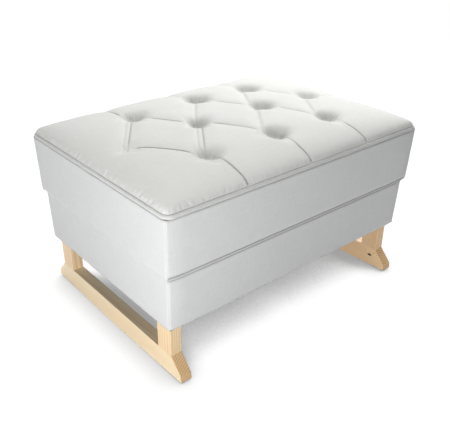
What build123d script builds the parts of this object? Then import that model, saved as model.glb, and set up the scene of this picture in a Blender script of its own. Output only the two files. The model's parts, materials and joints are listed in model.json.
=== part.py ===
from build123d import *
import os
from math import pi, radians, sin, sqrt, tan

# Rocking footstool, in millimetres. The origin is on the floor under the middle of the stool, +X along
# its long side to the right, +Y to the back and +Z up. Every piece is a solid of its own, in its place.

# ---- Upholstered box: sizes over the cloth ----
top_length = 600.0  # at the seat piping
top_width = 434.0
bottom_length = 582.5  # at the lower edge of the box
bottom_width = 404.5
box_bottom = 109.0  # height of the lower edge above the floor
step_height = 216.0  # underside of the overhanging upper wall
step_in = 6.0  # how far the lower box is set in under it, on all four sides
soft_step = 12.0  # height of the slope in which the ends' cloth runs over the step
seat_line = 321.5  # centre of the seat piping
cover_thickness = 4.0  # cloth on thin wadding

# ---- Seat cushion ----
cushion_height = 42.0  # from its lower edge on the piping to the top of its crown
cushion_inset = 3.0  # lower edge of the cushion, in from the walls' outer face
dome_height = 14.0  # part of the height that rises slowly towards the middle
roll_width = 110.0  # width of the rounded border
dome_fullness = 4  # larger keeps the dome full for longer before it falls to the border
crown_stations = 8  # stations of the crown's outline from the middle to the border
tuft_pitch = 151.0  # along a row
tuft_row_pitch = 113.5  # from row to row
tufts_in_middle_row = 4
tuft_height = 341.0  # bottom of each tuft above the floor
tuft_bottom_radius = 3.5
tuft_throat_radius = 14.0
tuft_throat_drop = 6.0  # below the crown
tuft_mouth_radius = 46.0
tuft_mouth_rise = 3.0  # above the crown, so that the flare runs out on it
tuft_throat_round = 18.0
well_sides = 20
well_stations = 7
pleat_rise = 3.0  # a pleat starts this far above the bottom of its tuft
pleat_depth = 4.5  # below the crown, half way between two tufts
pleat_half_angle = 40.0
edge_pleat_depth = 2.5
edge_pleat_half_angle = 34.0
end_pleat_depth = 1.5  # the faint creases from the outer tufts to the ends
edge_pleat_span = 0.52  # share of the way to the border where an edge pleat lies nearest the crown
pleat_tool_height = 26.0

# ---- Foam and its tufting ----
foam_height = 36.0
foam_clearance = 1.5  # from the seat piping
foam_bevel_width = 38.0
foam_pocket_radius = 26.0
foam_pocket_floor_radius = 7.0
foam_pocket_depth = 18.0
twine_radius = 0.9
twine_hole_radius = 4.0
toggle_radius = 11.0
toggle_thickness = 4.0

# ---- Pipings ----
seat_piping_radius = 4.5
seat_piping_stand = 0.5  # how far it stands out of the walls
seat_piping_corner = 4.0  # cut off the corner of its centre line
step_piping_radius = 2.5
step_piping_stand = 1.5
corner_piping_radius = 2.2
corner_piping_stand = 0.3
cover_edge_round = 2.5

# ---- Rocker frames ----
runner_outer = 282.0  # outer face of each runner and its posts, from the middle
timber_thickness = 22.6
post_width = 37.9
post_outer = 188.6  # outer edge of the posts, from the middle
runner_top = 44.0
toe_reach = 215.5
toe_height = 12.0
toe_rake = 1.5
rocker_rise = 4.0  # how far the toes stand off the floor
rest_flat = 40.0  # flat in the middle of the lower edge, where the runner stands
timber_round = 1.2
round_sides = 8  # small round pieces and their holes are octagons, which keeps their faces few

# ---- Inner frame ----
bottom_rail_height = 45.0
long_bottom_rail_thickness = 20.0
end_bottom_rail_thickness = 18.0
deck_thickness = 9.0
seat_rail_top = 303.5
bearer_thickness = 18.0
bearer_height = 45.0
bearer_offset = 37.75  # from the middle, between two columns of tufts
dust_cover_thickness = 0.8
dust_cover_inset = 2.0
dust_cover_clearance = 0.4

# ---- Dowels, screws and staples ----
dowel_radius = 4.0
dowel_depth = 20.0  # in a runner, a rail's end or a post's end
post_side_depth = 14.0  # in the side of a post
dowel_spacing = 18.0
drill_clearance = 0.2  # radial, and at the bottom of a blind hole
screw_radius = 2.5
screw_head_radius = 4.5
screw_head_height = 3.0
screw_sink = 0.5  # head below the surface
long_screw_length = 45.0
end_screw_length = 30.0
deck_screw_length = 28.0
deck_screw_columns = 4
deck_screw_pitch = 150.0
seat_screw_spacing = 36.0
staple_crown = 10.0
staple_wire = 1.0
staple_leg = 6.0
long_side_staples = 7
long_staple_pitch = 76.0
end_staples = 3
end_staple_pitch = 110.0

# ---- Derived sizes ----
end_lean = ((top_length - bottom_length) / 2 - step_in) / (seat_line - box_bottom)
side_lean = ((top_width - bottom_width) / 2 - step_in) / (seat_line - box_bottom)
wall_top = seat_line - seat_piping_radius
cushion_bottom = seat_line + seat_piping_radius
deck_top = seat_rail_top + deck_thickness
foam_top = deck_top + foam_height
foam_inset = 2 * seat_piping_radius - seat_piping_stand + foam_clearance
roll_height = cushion_height - dome_height
post_x = runner_outer - timber_thickness / 2
post_y = post_outer - post_width / 2
post_inner_x = runner_outer - timber_thickness
post_inner_y = post_outer - post_width
long_rail_y = post_outer - long_bottom_rail_thickness / 2
end_rail_x = runner_outer - end_bottom_rail_thickness / 2
bottom_rail_levels = (box_bottom, box_bottom + bottom_rail_height)
dowel_heights = [box_bottom + bottom_rail_height / 2 + s * dowel_spacing / 2 for s in (-1, 1)]
seat_screw_middle = (step_height + seat_rail_top) / 2

ends = {"left": -1, "right": 1}
sides = {"front": -1, "back": 1}


def half_length(height, inset=0.0):
    """Half of the box's length at a height, in from the outer face of the upper walls."""
    return top_length / 2 - (seat_line - height) * end_lean - inset


def half_width(height, inset=0.0):
    """Half of the box's width at a height, in from the outer face of the upper walls."""
    return top_width / 2 - (seat_line - height) * side_lean - inset


def crown_outline(across, reach):
    """Height of the cushion's outline at a distance from its middle: a rounded border, a slow dome."""
    border = reach - abs(across)
    roll = sqrt(1 - (1 - min(border / roll_width, 1)) ** 2)
    dome = 1 - (abs(across) / reach) ** dome_fullness
    return cushion_bottom + roll_height * roll + dome_height * dome


def crown(x, y):
    """Height of the cushion's untufted surface."""
    return min(crown_outline(x, border_x), crown_outline(y, border_y))


def tuft_rows():
    """Rows of tufts from front to back: the middle row has one tuft more than the others."""
    rows = []
    for row in (-1, 0, 1):
        count = tufts_in_middle_row - abs(row)
        rows.append([((i - (count - 1) / 2) * tuft_pitch, row * tuft_row_pitch) for i in range(count)])
    return rows


tufts = [tuft for row in tuft_rows() for tuft in row]


def finish(part, name):
    """Label a finished piece and write it."""
    part.label = name
    export_step(part, f"parts/{name}.step")


def block(levels, mode=Mode.ADD):
    """Straight-sided block through (height, x_low, x_high, y_low, y_high) rectangles."""
    sections = []
    for height, x_low, x_high, y_low, y_high in levels:
        with BuildSketch(Plane.XY.offset(height)) as section:
            with Locations(((x_low + x_high) / 2, (y_low + y_high) / 2)):
                Rectangle(abs(x_high - x_low), abs(y_high - y_low))
        sections.append(section.sketch)
    loft(sections, ruled=True, mode=mode)


def octagon(centre, direction, radius):
    """Section of a small round piece or hole, square to a direction."""
    with BuildSketch(Plane(origin=centre, z_dir=direction)) as section:
        RegularPolygon(radius, round_sides)
    return section.sketch


def rod(start, direction, length, radius, mode=Mode.ADD):
    """Rod or hole from a point along a direction."""
    extrude(octagon(start, direction, radius), amount=length, mode=mode)


def turned(head, direction, stations, mode=Mode.ADD):
    """Tapered rod or hole through (depth, radius) stations below its head."""
    axis = Vector(direction)
    sections = [octagon(Vector(head) + axis * depth, direction, radius) for depth, radius in stations]
    loft(sections, ruled=True, mode=mode)


def screw(head, direction, length):
    """Countersunk screw whose head is sunk just under a surface point."""
    neck = screw_sink + screw_head_height
    turned(head, direction, [(screw_sink, screw_head_radius), (neck, screw_radius), (length, screw_radius)])


def drill(head, direction, length):
    """Countersunk hole for a screw, with clearance, open at the surface."""
    mouth, bore = screw_head_radius + drill_clearance, screw_radius + drill_clearance
    neck = screw_sink + screw_head_height
    stations = [(-screw_sink, mouth), (screw_sink, mouth), (neck, bore), (length + drill_clearance, bore)]
    turned(head, direction, stations, Mode.SUBTRACT)


def staple_places():
    """Centre of each staple and its extent along X and Y."""
    places = []
    for sy in sides.values():
        for i in range(long_side_staples):
            x = (i - (long_side_staples - 1) / 2) * long_staple_pitch
            places.append((x, sy * long_rail_y, staple_crown, staple_wire))
    for sx in ends.values():
        for i in range(end_staples):
            y = (i - (end_staples - 1) / 2) * end_staple_pitch
            places.append((sx * end_rail_x, y, staple_wire, staple_crown))
    return places


def staple_legs(mode):
    """Legs of the staples, through the bottom cloth into the rails."""
    top = box_bottom - dust_cover_thickness + staple_leg
    for x, y, length, width in staple_places():
        for s in (-1, 1):
            leg_x = x + s * (length - staple_wire) / 2
            leg_y = y + s * (width - staple_wire) / 2
            with Locations((leg_x, leg_y, top - staple_leg / 2)):
                Box(staple_wire, staple_wire, staple_leg, mode=mode)


def side_screw_heads(sx, sy):
    """Heads of the two screws through a long seat rail into a post."""
    heads = []
    for up in (-1, 1):
        height = seat_screw_middle + up * seat_screw_spacing / 2
        heads.append((sx * post_x, sy * half_width(height, cover_thickness), height))
    return heads


def end_screw_head(sx, sy):
    """Head of the screw through an end's seat rail into a post."""
    return (sx * half_length(seat_screw_middle, cover_thickness), sy * post_y, seat_screw_middle)


def dowel_hole(mouth, direction, depth):
    """Blind hole for a dowel, with clearance."""
    rod(mouth, direction, depth + drill_clearance, dowel_radius + drill_clearance, Mode.SUBTRACT)


border_x = half_length(seat_line, cushion_inset)
border_y = half_width(seat_line, cushion_inset)

os.makedirs("parts", exist_ok=True)

# ---- Rocker frames: a runner and two posts at each end ----
runner_dowel_offsets = [s * dowel_spacing / 2 for s in (-1, 1)]

for end, sx in ends.items():
    with BuildPart() as runner:
        with BuildSketch(Plane.YZ.offset(sx * post_x)):
            with BuildLine():
                flat = Line((0, 0), (rest_flat / 2, 0))
                sole = TangentArc(flat @ 1, (toe_reach, rocker_rise), tangent=(1, 0))
                nose = Line(sole @ 1, (toe_reach - toe_rake, rocker_rise + toe_height))
                slant = Line(nose @ 1, (post_outer, runner_top))
                Line(slant @ 1, (0, runner_top))
                mirror(about=Plane.YZ)
            make_face()
        extrude(amount=timber_thickness / 2, both=True)
        side_edges = runner.edges().filter_by(Plane.YZ)
        fillet(side_edges.filter_by(lambda e: e.center().Z < runner_top - 1), timber_round)
        for sy in sides.values():
            for along in runner_dowel_offsets:
                mouth = (sx * post_x, sy * post_y + along, runner_top)
                dowel_hole(mouth, (0, 0, -1), dowel_depth)
    finish(runner.part, f"{end}_runner")

    for side, sy in sides.items():
        with BuildPart() as post:
            with BuildSketch(Plane.XY.offset(runner_top)):
                with Locations((sx * post_x, sy * post_y)):
                    Rectangle(timber_thickness, post_width)
            extrude(amount=seat_rail_top - runner_top)
            fillet(post.edges().filter_by(Axis.Z), timber_round)
            for along in runner_dowel_offsets:
                dowel_hole((sx * post_x, sy * post_y + along, runner_top), (0, 0, 1), dowel_depth)
            for height in dowel_heights:
                dowel_hole((sx * post_inner_x, sy * long_rail_y, height), (sx, 0, 0), post_side_depth)
                dowel_hole((sx * end_rail_x, sy * post_inner_y, height), (0, sy, 0), post_side_depth)
            for head in side_screw_heads(sx, sy):
                drill(head, (0, -sy, 0), long_screw_length)
            drill(end_screw_head(sx, sy), (-sx, 0, 0), end_screw_length)
        finish(post.part, f"{side}_{end}_post")

with BuildPart() as runner_dowels:
    for sx in ends.values():
        for sy in sides.values():
            for along in runner_dowel_offsets:
                foot = (sx * post_x, sy * post_y + along, runner_top - dowel_depth)
                rod(foot, (0, 0, 1), 2 * dowel_depth, dowel_radius)
finish(runner_dowels.part, "runner_dowels")

# ---- Bottom rails between the posts ----
for side, sy in sides.items():
    with BuildPart() as long_rail:
        near, far = sy * (post_outer - long_bottom_rail_thickness), sy * post_outer
        block([(z, -post_inner_x, post_inner_x, near, far) for z in bottom_rail_levels])
        for sx in ends.values():
            for height in dowel_heights:
                dowel_hole((sx * post_inner_x, sy * long_rail_y, height), (-sx, 0, 0), dowel_depth)
        staple_legs(Mode.SUBTRACT)
    finish(long_rail.part, f"{side}_bottom_rail")

for end, sx in ends.items():
    with BuildPart() as end_rail:
        near, far = sx * (runner_outer - end_bottom_rail_thickness), sx * runner_outer
        block([(z, near, far, -post_inner_y, post_inner_y) for z in bottom_rail_levels])
        for sy in sides.values():
            for height in dowel_heights:
                dowel_hole((sx * end_rail_x, sy * post_inner_y, height), (0, -sy, 0), dowel_depth)
        staple_legs(Mode.SUBTRACT)
    finish(end_rail.part, f"{end}_bottom_rail")

with BuildPart() as rail_dowels:
    length = dowel_depth + post_side_depth
    for sx in ends.values():
        for sy in sides.values():
            for height in dowel_heights:
                start = (sx * (post_inner_x - dowel_depth), sy * long_rail_y, height)
                rod(start, (sx, 0, 0), length, dowel_radius)
                start = (sx * end_rail_x, sy * (post_inner_y - dowel_depth), height)
                rod(start, (0, sy, 0), length, dowel_radius)
finish(rail_dowels.part, "rail_dowels")

# ---- Seat frame and the lower walls' boards: upright inside, leaning with the cloth outside ----
deck_screw_xs = [(i - (deck_screw_columns - 1) / 2) * deck_screw_pitch for i in range(deck_screw_columns)]


def deck_screw_y(sy):
    """Middle of a long seat rail at its top."""
    return sy * (post_outer + half_width(seat_rail_top, cover_thickness)) / 2


def wall_levels(low, high, inset, upright, side_sign, end_sign):
    """Rectangles of a wall board from its upright inner face to its leaning outer face."""
    levels = []
    for z in (low, high):
        if side_sign:
            reach = half_length(z, inset)
            levels.append((z, -reach, reach, side_sign * upright, side_sign * half_width(z, inset)))
        else:
            levels.append((z, end_sign * upright, end_sign * half_length(z, inset), -post_outer, post_outer))
    return levels


for side, sy in sides.items():
    with BuildPart() as seat_rail:
        block(wall_levels(step_height, seat_rail_top, cover_thickness, post_outer, sy, 0))
        for sx in ends.values():
            for head in side_screw_heads(sx, sy):
                drill(head, (0, -sy, 0), long_screw_length)
        for x in deck_screw_xs:
            drill((x, deck_screw_y(sy), deck_top), (0, 0, -1), deck_screw_length)
    finish(seat_rail.part, f"{side}_seat_rail")

    with BuildPart() as skin:
        block(wall_levels(box_bottom, step_height, step_in + cover_thickness, post_outer, sy, 0))
    finish(skin.part, f"{side}_skin")

for end, sx in ends.items():
    with BuildPart() as seat_rail:
        block(wall_levels(step_height, seat_rail_top, cover_thickness, runner_outer, 0, sx))
        for sy in sides.values():
            drill(end_screw_head(sx, sy), (-sx, 0, 0), end_screw_length)
    finish(seat_rail.part, f"{end}_seat_rail")

    with BuildPart() as skin:
        block(wall_levels(box_bottom, step_height, step_in + cover_thickness, runner_outer, 0, sx))
    finish(skin.part, f"{end}_skin")

    with BuildPart() as bearer:
        near = sx * bearer_offset - bearer_thickness / 2
        levels = (seat_rail_top - bearer_height, seat_rail_top)
        block([(z, near, near + bearer_thickness, -post_outer, post_outer) for z in levels])
    finish(bearer.part, f"{end}_bearer")

with BuildPart() as seat_rail_screws:
    for sx in ends.values():
        for sy in sides.values():
            for head in side_screw_heads(sx, sy):
                screw(head, (0, -sy, 0), long_screw_length)
finish(seat_rail_screws.part, "seat_rail_screws")

with BuildPart() as end_rail_screws:
    for sx in ends.values():
        for sy in sides.values():
            screw(end_screw_head(sx, sy), (-sx, 0, 0), end_screw_length)
finish(end_rail_screws.part, "end_rail_screws")

# ---- Deck, with a hole for the twine of each tuft ----
with BuildPart() as seat_deck:
    with BuildSketch(Plane.XY.offset(seat_rail_top)):
        RectangleRounded(
            2 * half_length(seat_rail_top, cover_thickness),
            2 * half_width(seat_rail_top, cover_thickness),
            cover_thickness,
        )
        with Locations(*tufts):
            RegularPolygon(twine_hole_radius, round_sides, mode=Mode.SUBTRACT)
    extrude(amount=deck_thickness)
    for sy in sides.values():
        for x in deck_screw_xs:
            drill((x, deck_screw_y(sy), deck_top), (0, 0, -1), deck_screw_length)
finish(seat_deck.part, "seat_deck")

with BuildPart() as deck_screws:
    for sy in sides.values():
        for x in deck_screw_xs:
            screw((x, deck_screw_y(sy), deck_top), (0, 0, -1), deck_screw_length)
finish(deck_screws.part, "deck_screws")

# ---- Foam block: bevelled border and a conical pocket for each tuft ----
foam_x, foam_y = half_length(seat_line, foam_inset), half_width(seat_line, foam_inset)
foam_levels = []
for z, bevel in ((deck_top, 0), (cushion_bottom, 0), (foam_top, foam_bevel_width)):
    foam_levels.append((z, bevel - foam_x, foam_x - bevel, bevel - foam_y, foam_y - bevel))


def pocket(x, y, mode):
    """Tapered pocket in the foam under a tuft, or the filling that it takes."""
    stations = [(0, foam_pocket_radius), (foam_pocket_depth, foam_pocket_floor_radius)]
    turned((x, y, foam_top), (0, 0, -1), stations, mode)


with BuildPart() as foam_pad:
    block(foam_levels)
    for x, y in tufts:
        pocket(x, y, Mode.SUBTRACT)
        rod((x, y, deck_top), (0, 0, 1), foam_height, twine_hole_radius, Mode.SUBTRACT)
finish(foam_pad.part, "foam_pad")

# ---- Tufted cover: cloth and fibre filling over the foam, with a well at each tuft and pleats ----
def crown_section(plane, reach):
    """Untufted section of the cushion in an upright plane through its middle."""
    points = []
    for i in range(crown_stations + 1):
        across = reach * sin(pi / 2 * i / crown_stations)
        points.append((across, crown_outline(across, reach)))
    with BuildSketch(plane) as section:
        with BuildLine():
            top = Spline(*points, tangents=[(1, 0), (0, -1)])
            Polyline(top @ 1, (0, cushion_bottom), top @ 0)
        make_face()
        mirror(about=Plane.YZ)
    return section.sketch


def cut_well(x, y):
    """Well of a blind tuft: a small bottom, a steep throat and a flared mouth."""
    top = crown(x, y)
    with BuildLine() as wall:
        FilletPolyline(
            (tuft_bottom_radius, tuft_height),
            (tuft_throat_radius, top - tuft_throat_drop),
            (tuft_mouth_radius, top + tuft_mouth_rise),
            radius=tuft_throat_round,
        )
    sections = []
    for i in range(well_stations + 1):
        point = wall.wire() @ (i / well_stations)
        with BuildSketch(Plane((x, y, point.Y))) as section:
            RegularPolygon(point.X, well_sides)
        sections.append(section.sketch)
    loft(sections, ruled=True, mode=Mode.SUBTRACT)


def cut_pleat(start, middle, end, half_angle):
    """V-shaped pleat whose bottom runs in an arc through three points."""
    arc = Edge.make_three_point_arc(start, middle, end)
    centre = arc.arc_center
    first = (Vector(start) - centre).normalized()
    last = (Vector(end) - centre).normalized()
    turn = first.cross(last).normalized()
    opening = pleat_tool_height * tan(radians(half_angle))
    with BuildSketch(Plane(origin=centre, x_dir=turn, z_dir=turn.cross(first))) as section:
        with BuildLine():
            Polyline(
                (0, arc.radius),
                (opening, arc.radius + pleat_tool_height),
                (-opening, arc.radius + pleat_tool_height),
                close=True,
            )
        make_face()
    span = first.get_angle(last)
    revolve(section.sketch, axis=Axis(centre, turn), revolution_arc=span, mode=Mode.SUBTRACT)


def tuft_pleat(a, b):
    """Pleat between two neighbouring tufts."""
    x, y = (a[0] + b[0]) / 2, (a[1] + b[1]) / 2
    foot = tuft_height + pleat_rise
    cut_pleat((*a, foot), (x, y, crown(x, y) - pleat_depth), (*b, foot), pleat_half_angle)


def border_pleat(tuft, border, depth):
    """Pleat from a tuft over the rounded border to the piping."""
    x, y = (t + (b - t) * edge_pleat_span for t, b in zip(tuft, border))
    start = (*tuft, tuft_height + pleat_rise)
    cut_pleat(start, (x, y, crown(x, y) - depth), (*border, cushion_bottom + 1), edge_pleat_half_angle)


with BuildPart() as tufted_cover:
    extrude(crown_section(Plane.XZ, border_x), amount=border_y, both=True)
    extrude(crown_section(Plane.YZ, border_y), amount=border_x, both=True, mode=Mode.INTERSECT)
    block(foam_levels[1:], mode=Mode.SUBTRACT)
    for x, y in tufts:
        pocket(x, y, Mode.ADD)
    for x, y in tufts:
        cut_well(x, y)
    front_row, middle_row, back_row = tuft_rows()
    for row in (front_row, back_row):
        for i, tuft in enumerate(row):
            tuft_pleat(tuft, middle_row[i])
            tuft_pleat(tuft, middle_row[i + 1])
            edge = border_y + 1 if tuft[1] > 0 else -border_y - 1
            border_pleat(tuft, (tuft[0], edge), edge_pleat_depth)
    for tuft in (middle_row[0], middle_row[-1]):
        edge = border_x + 1 if tuft[0] > 0 else -border_x - 1
        border_pleat(tuft, (edge, tuft[1]), end_pleat_depth)
finish(tufted_cover.part, "tufted_cover")

# ---- Twines and the toggles that hold them under the deck ----
with BuildPart() as tuft_twines:
    for x, y in tufts:
        rod((x, y, seat_rail_top), (0, 0, 1), foam_top - foam_pocket_depth - seat_rail_top, twine_radius)
finish(tuft_twines.part, "tuft_twines")

with BuildPart() as tuft_toggles:
    with BuildSketch(Plane.XY.offset(seat_rail_top - toggle_thickness)):
        with Locations(*tufts):
            RegularPolygon(toggle_radius, round_sides)
    extrude(amount=toggle_thickness)
finish(tuft_toggles.part, "tuft_toggles")

# ---- Covers of the walls: one piece at each end, a band and a lower piece at the front and back ----
corner_gap = 2 * corner_piping_radius - corner_piping_stand
lower_cover_top = step_height - 2 * step_piping_radius
slope_foot = step_height - soft_step


def cover_levels(heights, inset, sy):
    """Rectangles of a front or back cover, between the corner pipings."""
    levels = []
    for z in heights:
        reach = half_length(z, inset + corner_gap)
        inner, outer = sy * half_width(z, inset + cover_thickness), sy * half_width(z, inset)
        levels.append((z, -reach, reach, inner, outer))
    return levels


def outer_edges(part, sy):
    """Upright edges of a front or back cover where it meets the corner pipings."""
    upright = part.edges().filter_by(lambda e: abs((e @ 1 - e @ 0).Z) > cover_thickness * 2)
    return upright.sort_by(Axis.Y, reverse=sy > 0)[:2]


for side, sy in sides.items():
    with BuildPart() as band:
        block(cover_levels((step_height, wall_top), 0, sy))
        fillet(outer_edges(band, sy), cover_edge_round)
    finish(band.part, f"{side}_band")

    with BuildPart() as lower_cover:
        block(cover_levels((box_bottom, lower_cover_top), step_in, sy))
        fillet(outer_edges(lower_cover, sy), cover_edge_round)
    finish(lower_cover.part, f"{side}_lower_cover")

    with BuildPart() as step_piping:
        height = step_height - step_piping_radius
        reach = half_length(height, step_in + corner_gap)
        inset = step_in + step_piping_radius - step_piping_stand
        rod((-reach, sy * half_width(height, inset), height), (1, 0, 0), 2 * reach, step_piping_radius)
    finish(step_piping.part, f"{side}_step_piping")

for end, sx in ends.items():
    with BuildPart() as end_cover:
        with BuildSketch(Plane.XZ):
            with BuildLine():
                Polyline(
                    (sx * half_length(wall_top), wall_top),
                    (sx * half_length(step_height), step_height),
                    (sx * half_length(slope_foot, step_in), slope_foot),
                    (sx * half_length(box_bottom, step_in), box_bottom),
                    (sx * half_length(box_bottom, step_in + cover_thickness), box_bottom),
                    (sx * half_length(step_height, step_in + cover_thickness), step_height),
                    (sx * half_length(step_height, cover_thickness), step_height),
                    (sx * half_length(wall_top, cover_thickness), wall_top),
                    close=True,
                )
            make_face()
        extrude(amount=top_width / 2, both=True)
        levels = []
        for z, inset in ((box_bottom, step_in), (slope_foot, step_in), (step_height, 0), (wall_top, 0)):
            reach = half_width(z, inset + corner_gap)
            levels.append((z, 0, sx * top_length, -reach, reach))
        block(levels, mode=Mode.INTERSECT)
    finish(end_cover.part, f"{end}_end_cover")

# ---- Pipings: round the seat and down the four corners ----
with BuildPart() as top_piping:
    centre_inset = seat_piping_radius - seat_piping_stand
    x, y = half_length(seat_line, centre_inset), half_width(seat_line, centre_inset)
    corner = seat_piping_corner
    with BuildLine(Plane.XY.offset(seat_line)) as loop:
        Line((0, -y), (x - corner, -y))
        Line((x - corner, -y), (x, corner - y))
        Line((x, corner - y), (x, 0))
        mirror(about=Plane.XZ)
        mirror(about=Plane.YZ)
    with BuildSketch(Plane(origin=(0, -y, seat_line), z_dir=(1, 0, 0))):
        Circle(seat_piping_radius)
    sweep(path=loop.wire(), transition=Transition.RIGHT)
finish(top_piping.part, "top_piping")

for side, sy in sides.items():
    for end, sx in ends.items():
        with BuildPart() as corner_piping:
            sections = []
            for z, inset in ((box_bottom, step_in), (slope_foot, step_in), (step_height, 0), (wall_top, 0)):
                centre_inset = inset + corner_piping_radius - corner_piping_stand
                centre = (sx * half_length(z, centre_inset), sy * half_width(z, centre_inset), z)
                sections.append(octagon(centre, (0, 0, 1), corner_piping_radius))
            loft(sections, ruled=True)
        finish(corner_piping.part, f"{side}_{end}_corner_piping")

# ---- Bottom cloth, cut out round the posts, and its staples ----
with BuildPart() as dust_cover:
    with BuildSketch(Plane.XY.offset(box_bottom - dust_cover_thickness)):
        inset = step_in + dust_cover_inset
        Rectangle(2 * half_length(box_bottom, inset), 2 * half_width(box_bottom, inset))
        with Locations(*[(sx * post_x, sy * post_y) for sx in ends.values() for sy in sides.values()]):
            opening = 2 * dust_cover_clearance
            Rectangle(timber_thickness + opening, post_width + opening, mode=Mode.SUBTRACT)
    extrude(amount=dust_cover_thickness)
    staple_legs(Mode.SUBTRACT)
finish(dust_cover.part, "dust_cover")

with BuildPart() as dust_cover_staples:
    for x, y, length, width in staple_places():
        with Locations((x, y, box_bottom - dust_cover_thickness - staple_wire / 2)):
            Box(length, width, staple_wire)
    staple_legs(Mode.ADD)
finish(dust_cover_staples.part, "dust_cover_staples")
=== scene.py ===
"""Rocking footstool with a tufted seat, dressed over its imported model.

Every length in this file is in metres, in the model's own frame: the origin is on the floor under the
middle of the stool, +X runs along its long side, +Y to the back and +Z up.
"""

from __future__ import annotations

import json
import logging
import math
from dataclasses import dataclass, field
from enum import Enum
from typing import Any, Sequence

import bpy
import numpy as np
from mathutils import Matrix, Vector

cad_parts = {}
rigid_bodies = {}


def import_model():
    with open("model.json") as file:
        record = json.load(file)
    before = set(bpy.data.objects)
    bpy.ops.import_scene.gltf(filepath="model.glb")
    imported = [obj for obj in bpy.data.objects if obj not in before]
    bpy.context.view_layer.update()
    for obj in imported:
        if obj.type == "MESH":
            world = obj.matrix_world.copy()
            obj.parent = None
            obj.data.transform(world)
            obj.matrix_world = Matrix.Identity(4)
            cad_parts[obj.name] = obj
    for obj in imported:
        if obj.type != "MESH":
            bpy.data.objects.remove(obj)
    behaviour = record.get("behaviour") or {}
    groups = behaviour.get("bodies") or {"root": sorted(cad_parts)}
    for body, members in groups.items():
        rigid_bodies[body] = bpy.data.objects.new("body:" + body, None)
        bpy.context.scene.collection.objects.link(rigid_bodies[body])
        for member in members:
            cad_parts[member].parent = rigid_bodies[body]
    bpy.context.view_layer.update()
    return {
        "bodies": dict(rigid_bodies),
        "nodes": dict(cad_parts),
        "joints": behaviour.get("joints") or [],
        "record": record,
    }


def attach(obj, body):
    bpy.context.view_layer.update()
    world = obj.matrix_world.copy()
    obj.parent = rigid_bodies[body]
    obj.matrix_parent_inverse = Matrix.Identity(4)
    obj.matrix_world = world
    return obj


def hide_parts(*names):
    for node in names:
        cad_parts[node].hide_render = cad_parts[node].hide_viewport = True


LOG = logging.getLogger("footstool")

Point = tuple[float, float, float]
Colour = tuple[float, float, float]
Tones = tuple[Colour, Colour, Colour]

WHITE: Colour = (1.0, 1.0, 1.0)
BLACK: Colour = (0.0, 0.0, 0.0)


# --------------------------------------------------------------------------------------------------
# Node trees
# --------------------------------------------------------------------------------------------------


class Wire:
    """A socket of a node tree that can be used in Python expressions."""

    def __init__(self, tree: "Tree", socket: bpy.types.NodeSocket) -> None:
        """Wrap one output socket.

        Args:
            tree: The tree that the socket belongs to.
            socket: The output socket.
        """
        self.tree = tree
        self.socket = socket

    def _math(self, operation: str, *values: "Wire | float") -> "Wire":
        """Add a Math node over these values and return its result."""
        return self.tree.node("ShaderNodeMath", {"operation": operation}, dict(enumerate(values)))

    def __add__(self, other: "Wire | float") -> "Wire":
        """Return self + other."""
        return self._math("ADD", self, other)

    __radd__ = __add__

    def __sub__(self, other: "Wire | float") -> "Wire":
        """Return self - other."""
        return self._math("SUBTRACT", self, other)

    def __rsub__(self, other: "Wire | float") -> "Wire":
        """Return other - self."""
        return self._math("SUBTRACT", other, self)

    def __mul__(self, other: "Wire | float") -> "Wire":
        """Return self * other."""
        return self._math("MULTIPLY", self, other)

    __rmul__ = __mul__

    def __truediv__(self, other: "Wire | float") -> "Wire":
        """Return self / other."""
        return self._math("DIVIDE", self, other)

    def __rtruediv__(self, other: "Wire | float") -> "Wire":
        """Return other / self."""
        return self._math("DIVIDE", other, self)

    def __pow__(self, other: "Wire | float") -> "Wire":
        """Return self ** other."""
        return self._math("POWER", self, other)

    def __rpow__(self, other: "Wire | float") -> "Wire":
        """Return other ** self."""
        return self._math("POWER", other, self)

    def sine(self) -> "Wire":
        """Return the sine of self."""
        return self._math("SINE", self)

    def fraction(self) -> "Wire":
        """Return the fractional part of self."""
        return self._math("FRACT", self)

    def distance(self, other: float) -> "Wire":
        """Return the absolute difference from a number."""
        return self._math("ABSOLUTE", self - other)

    def smooth(self, low: float, high: float) -> "Wire":
        """Return a smooth step that rises from 0 at low to 1 at high.

        Args:
            low: Value at which the result is 0.
            high: Value at which the result is 1; it may be the smaller of the two.

        Returns:
            The step's value.
        """
        values = {"Value": self, "From Min": low, "From Max": high}
        return self.tree.node("ShaderNodeMapRange", {"interpolation_type": "SMOOTHSTEP"}, values)


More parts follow.
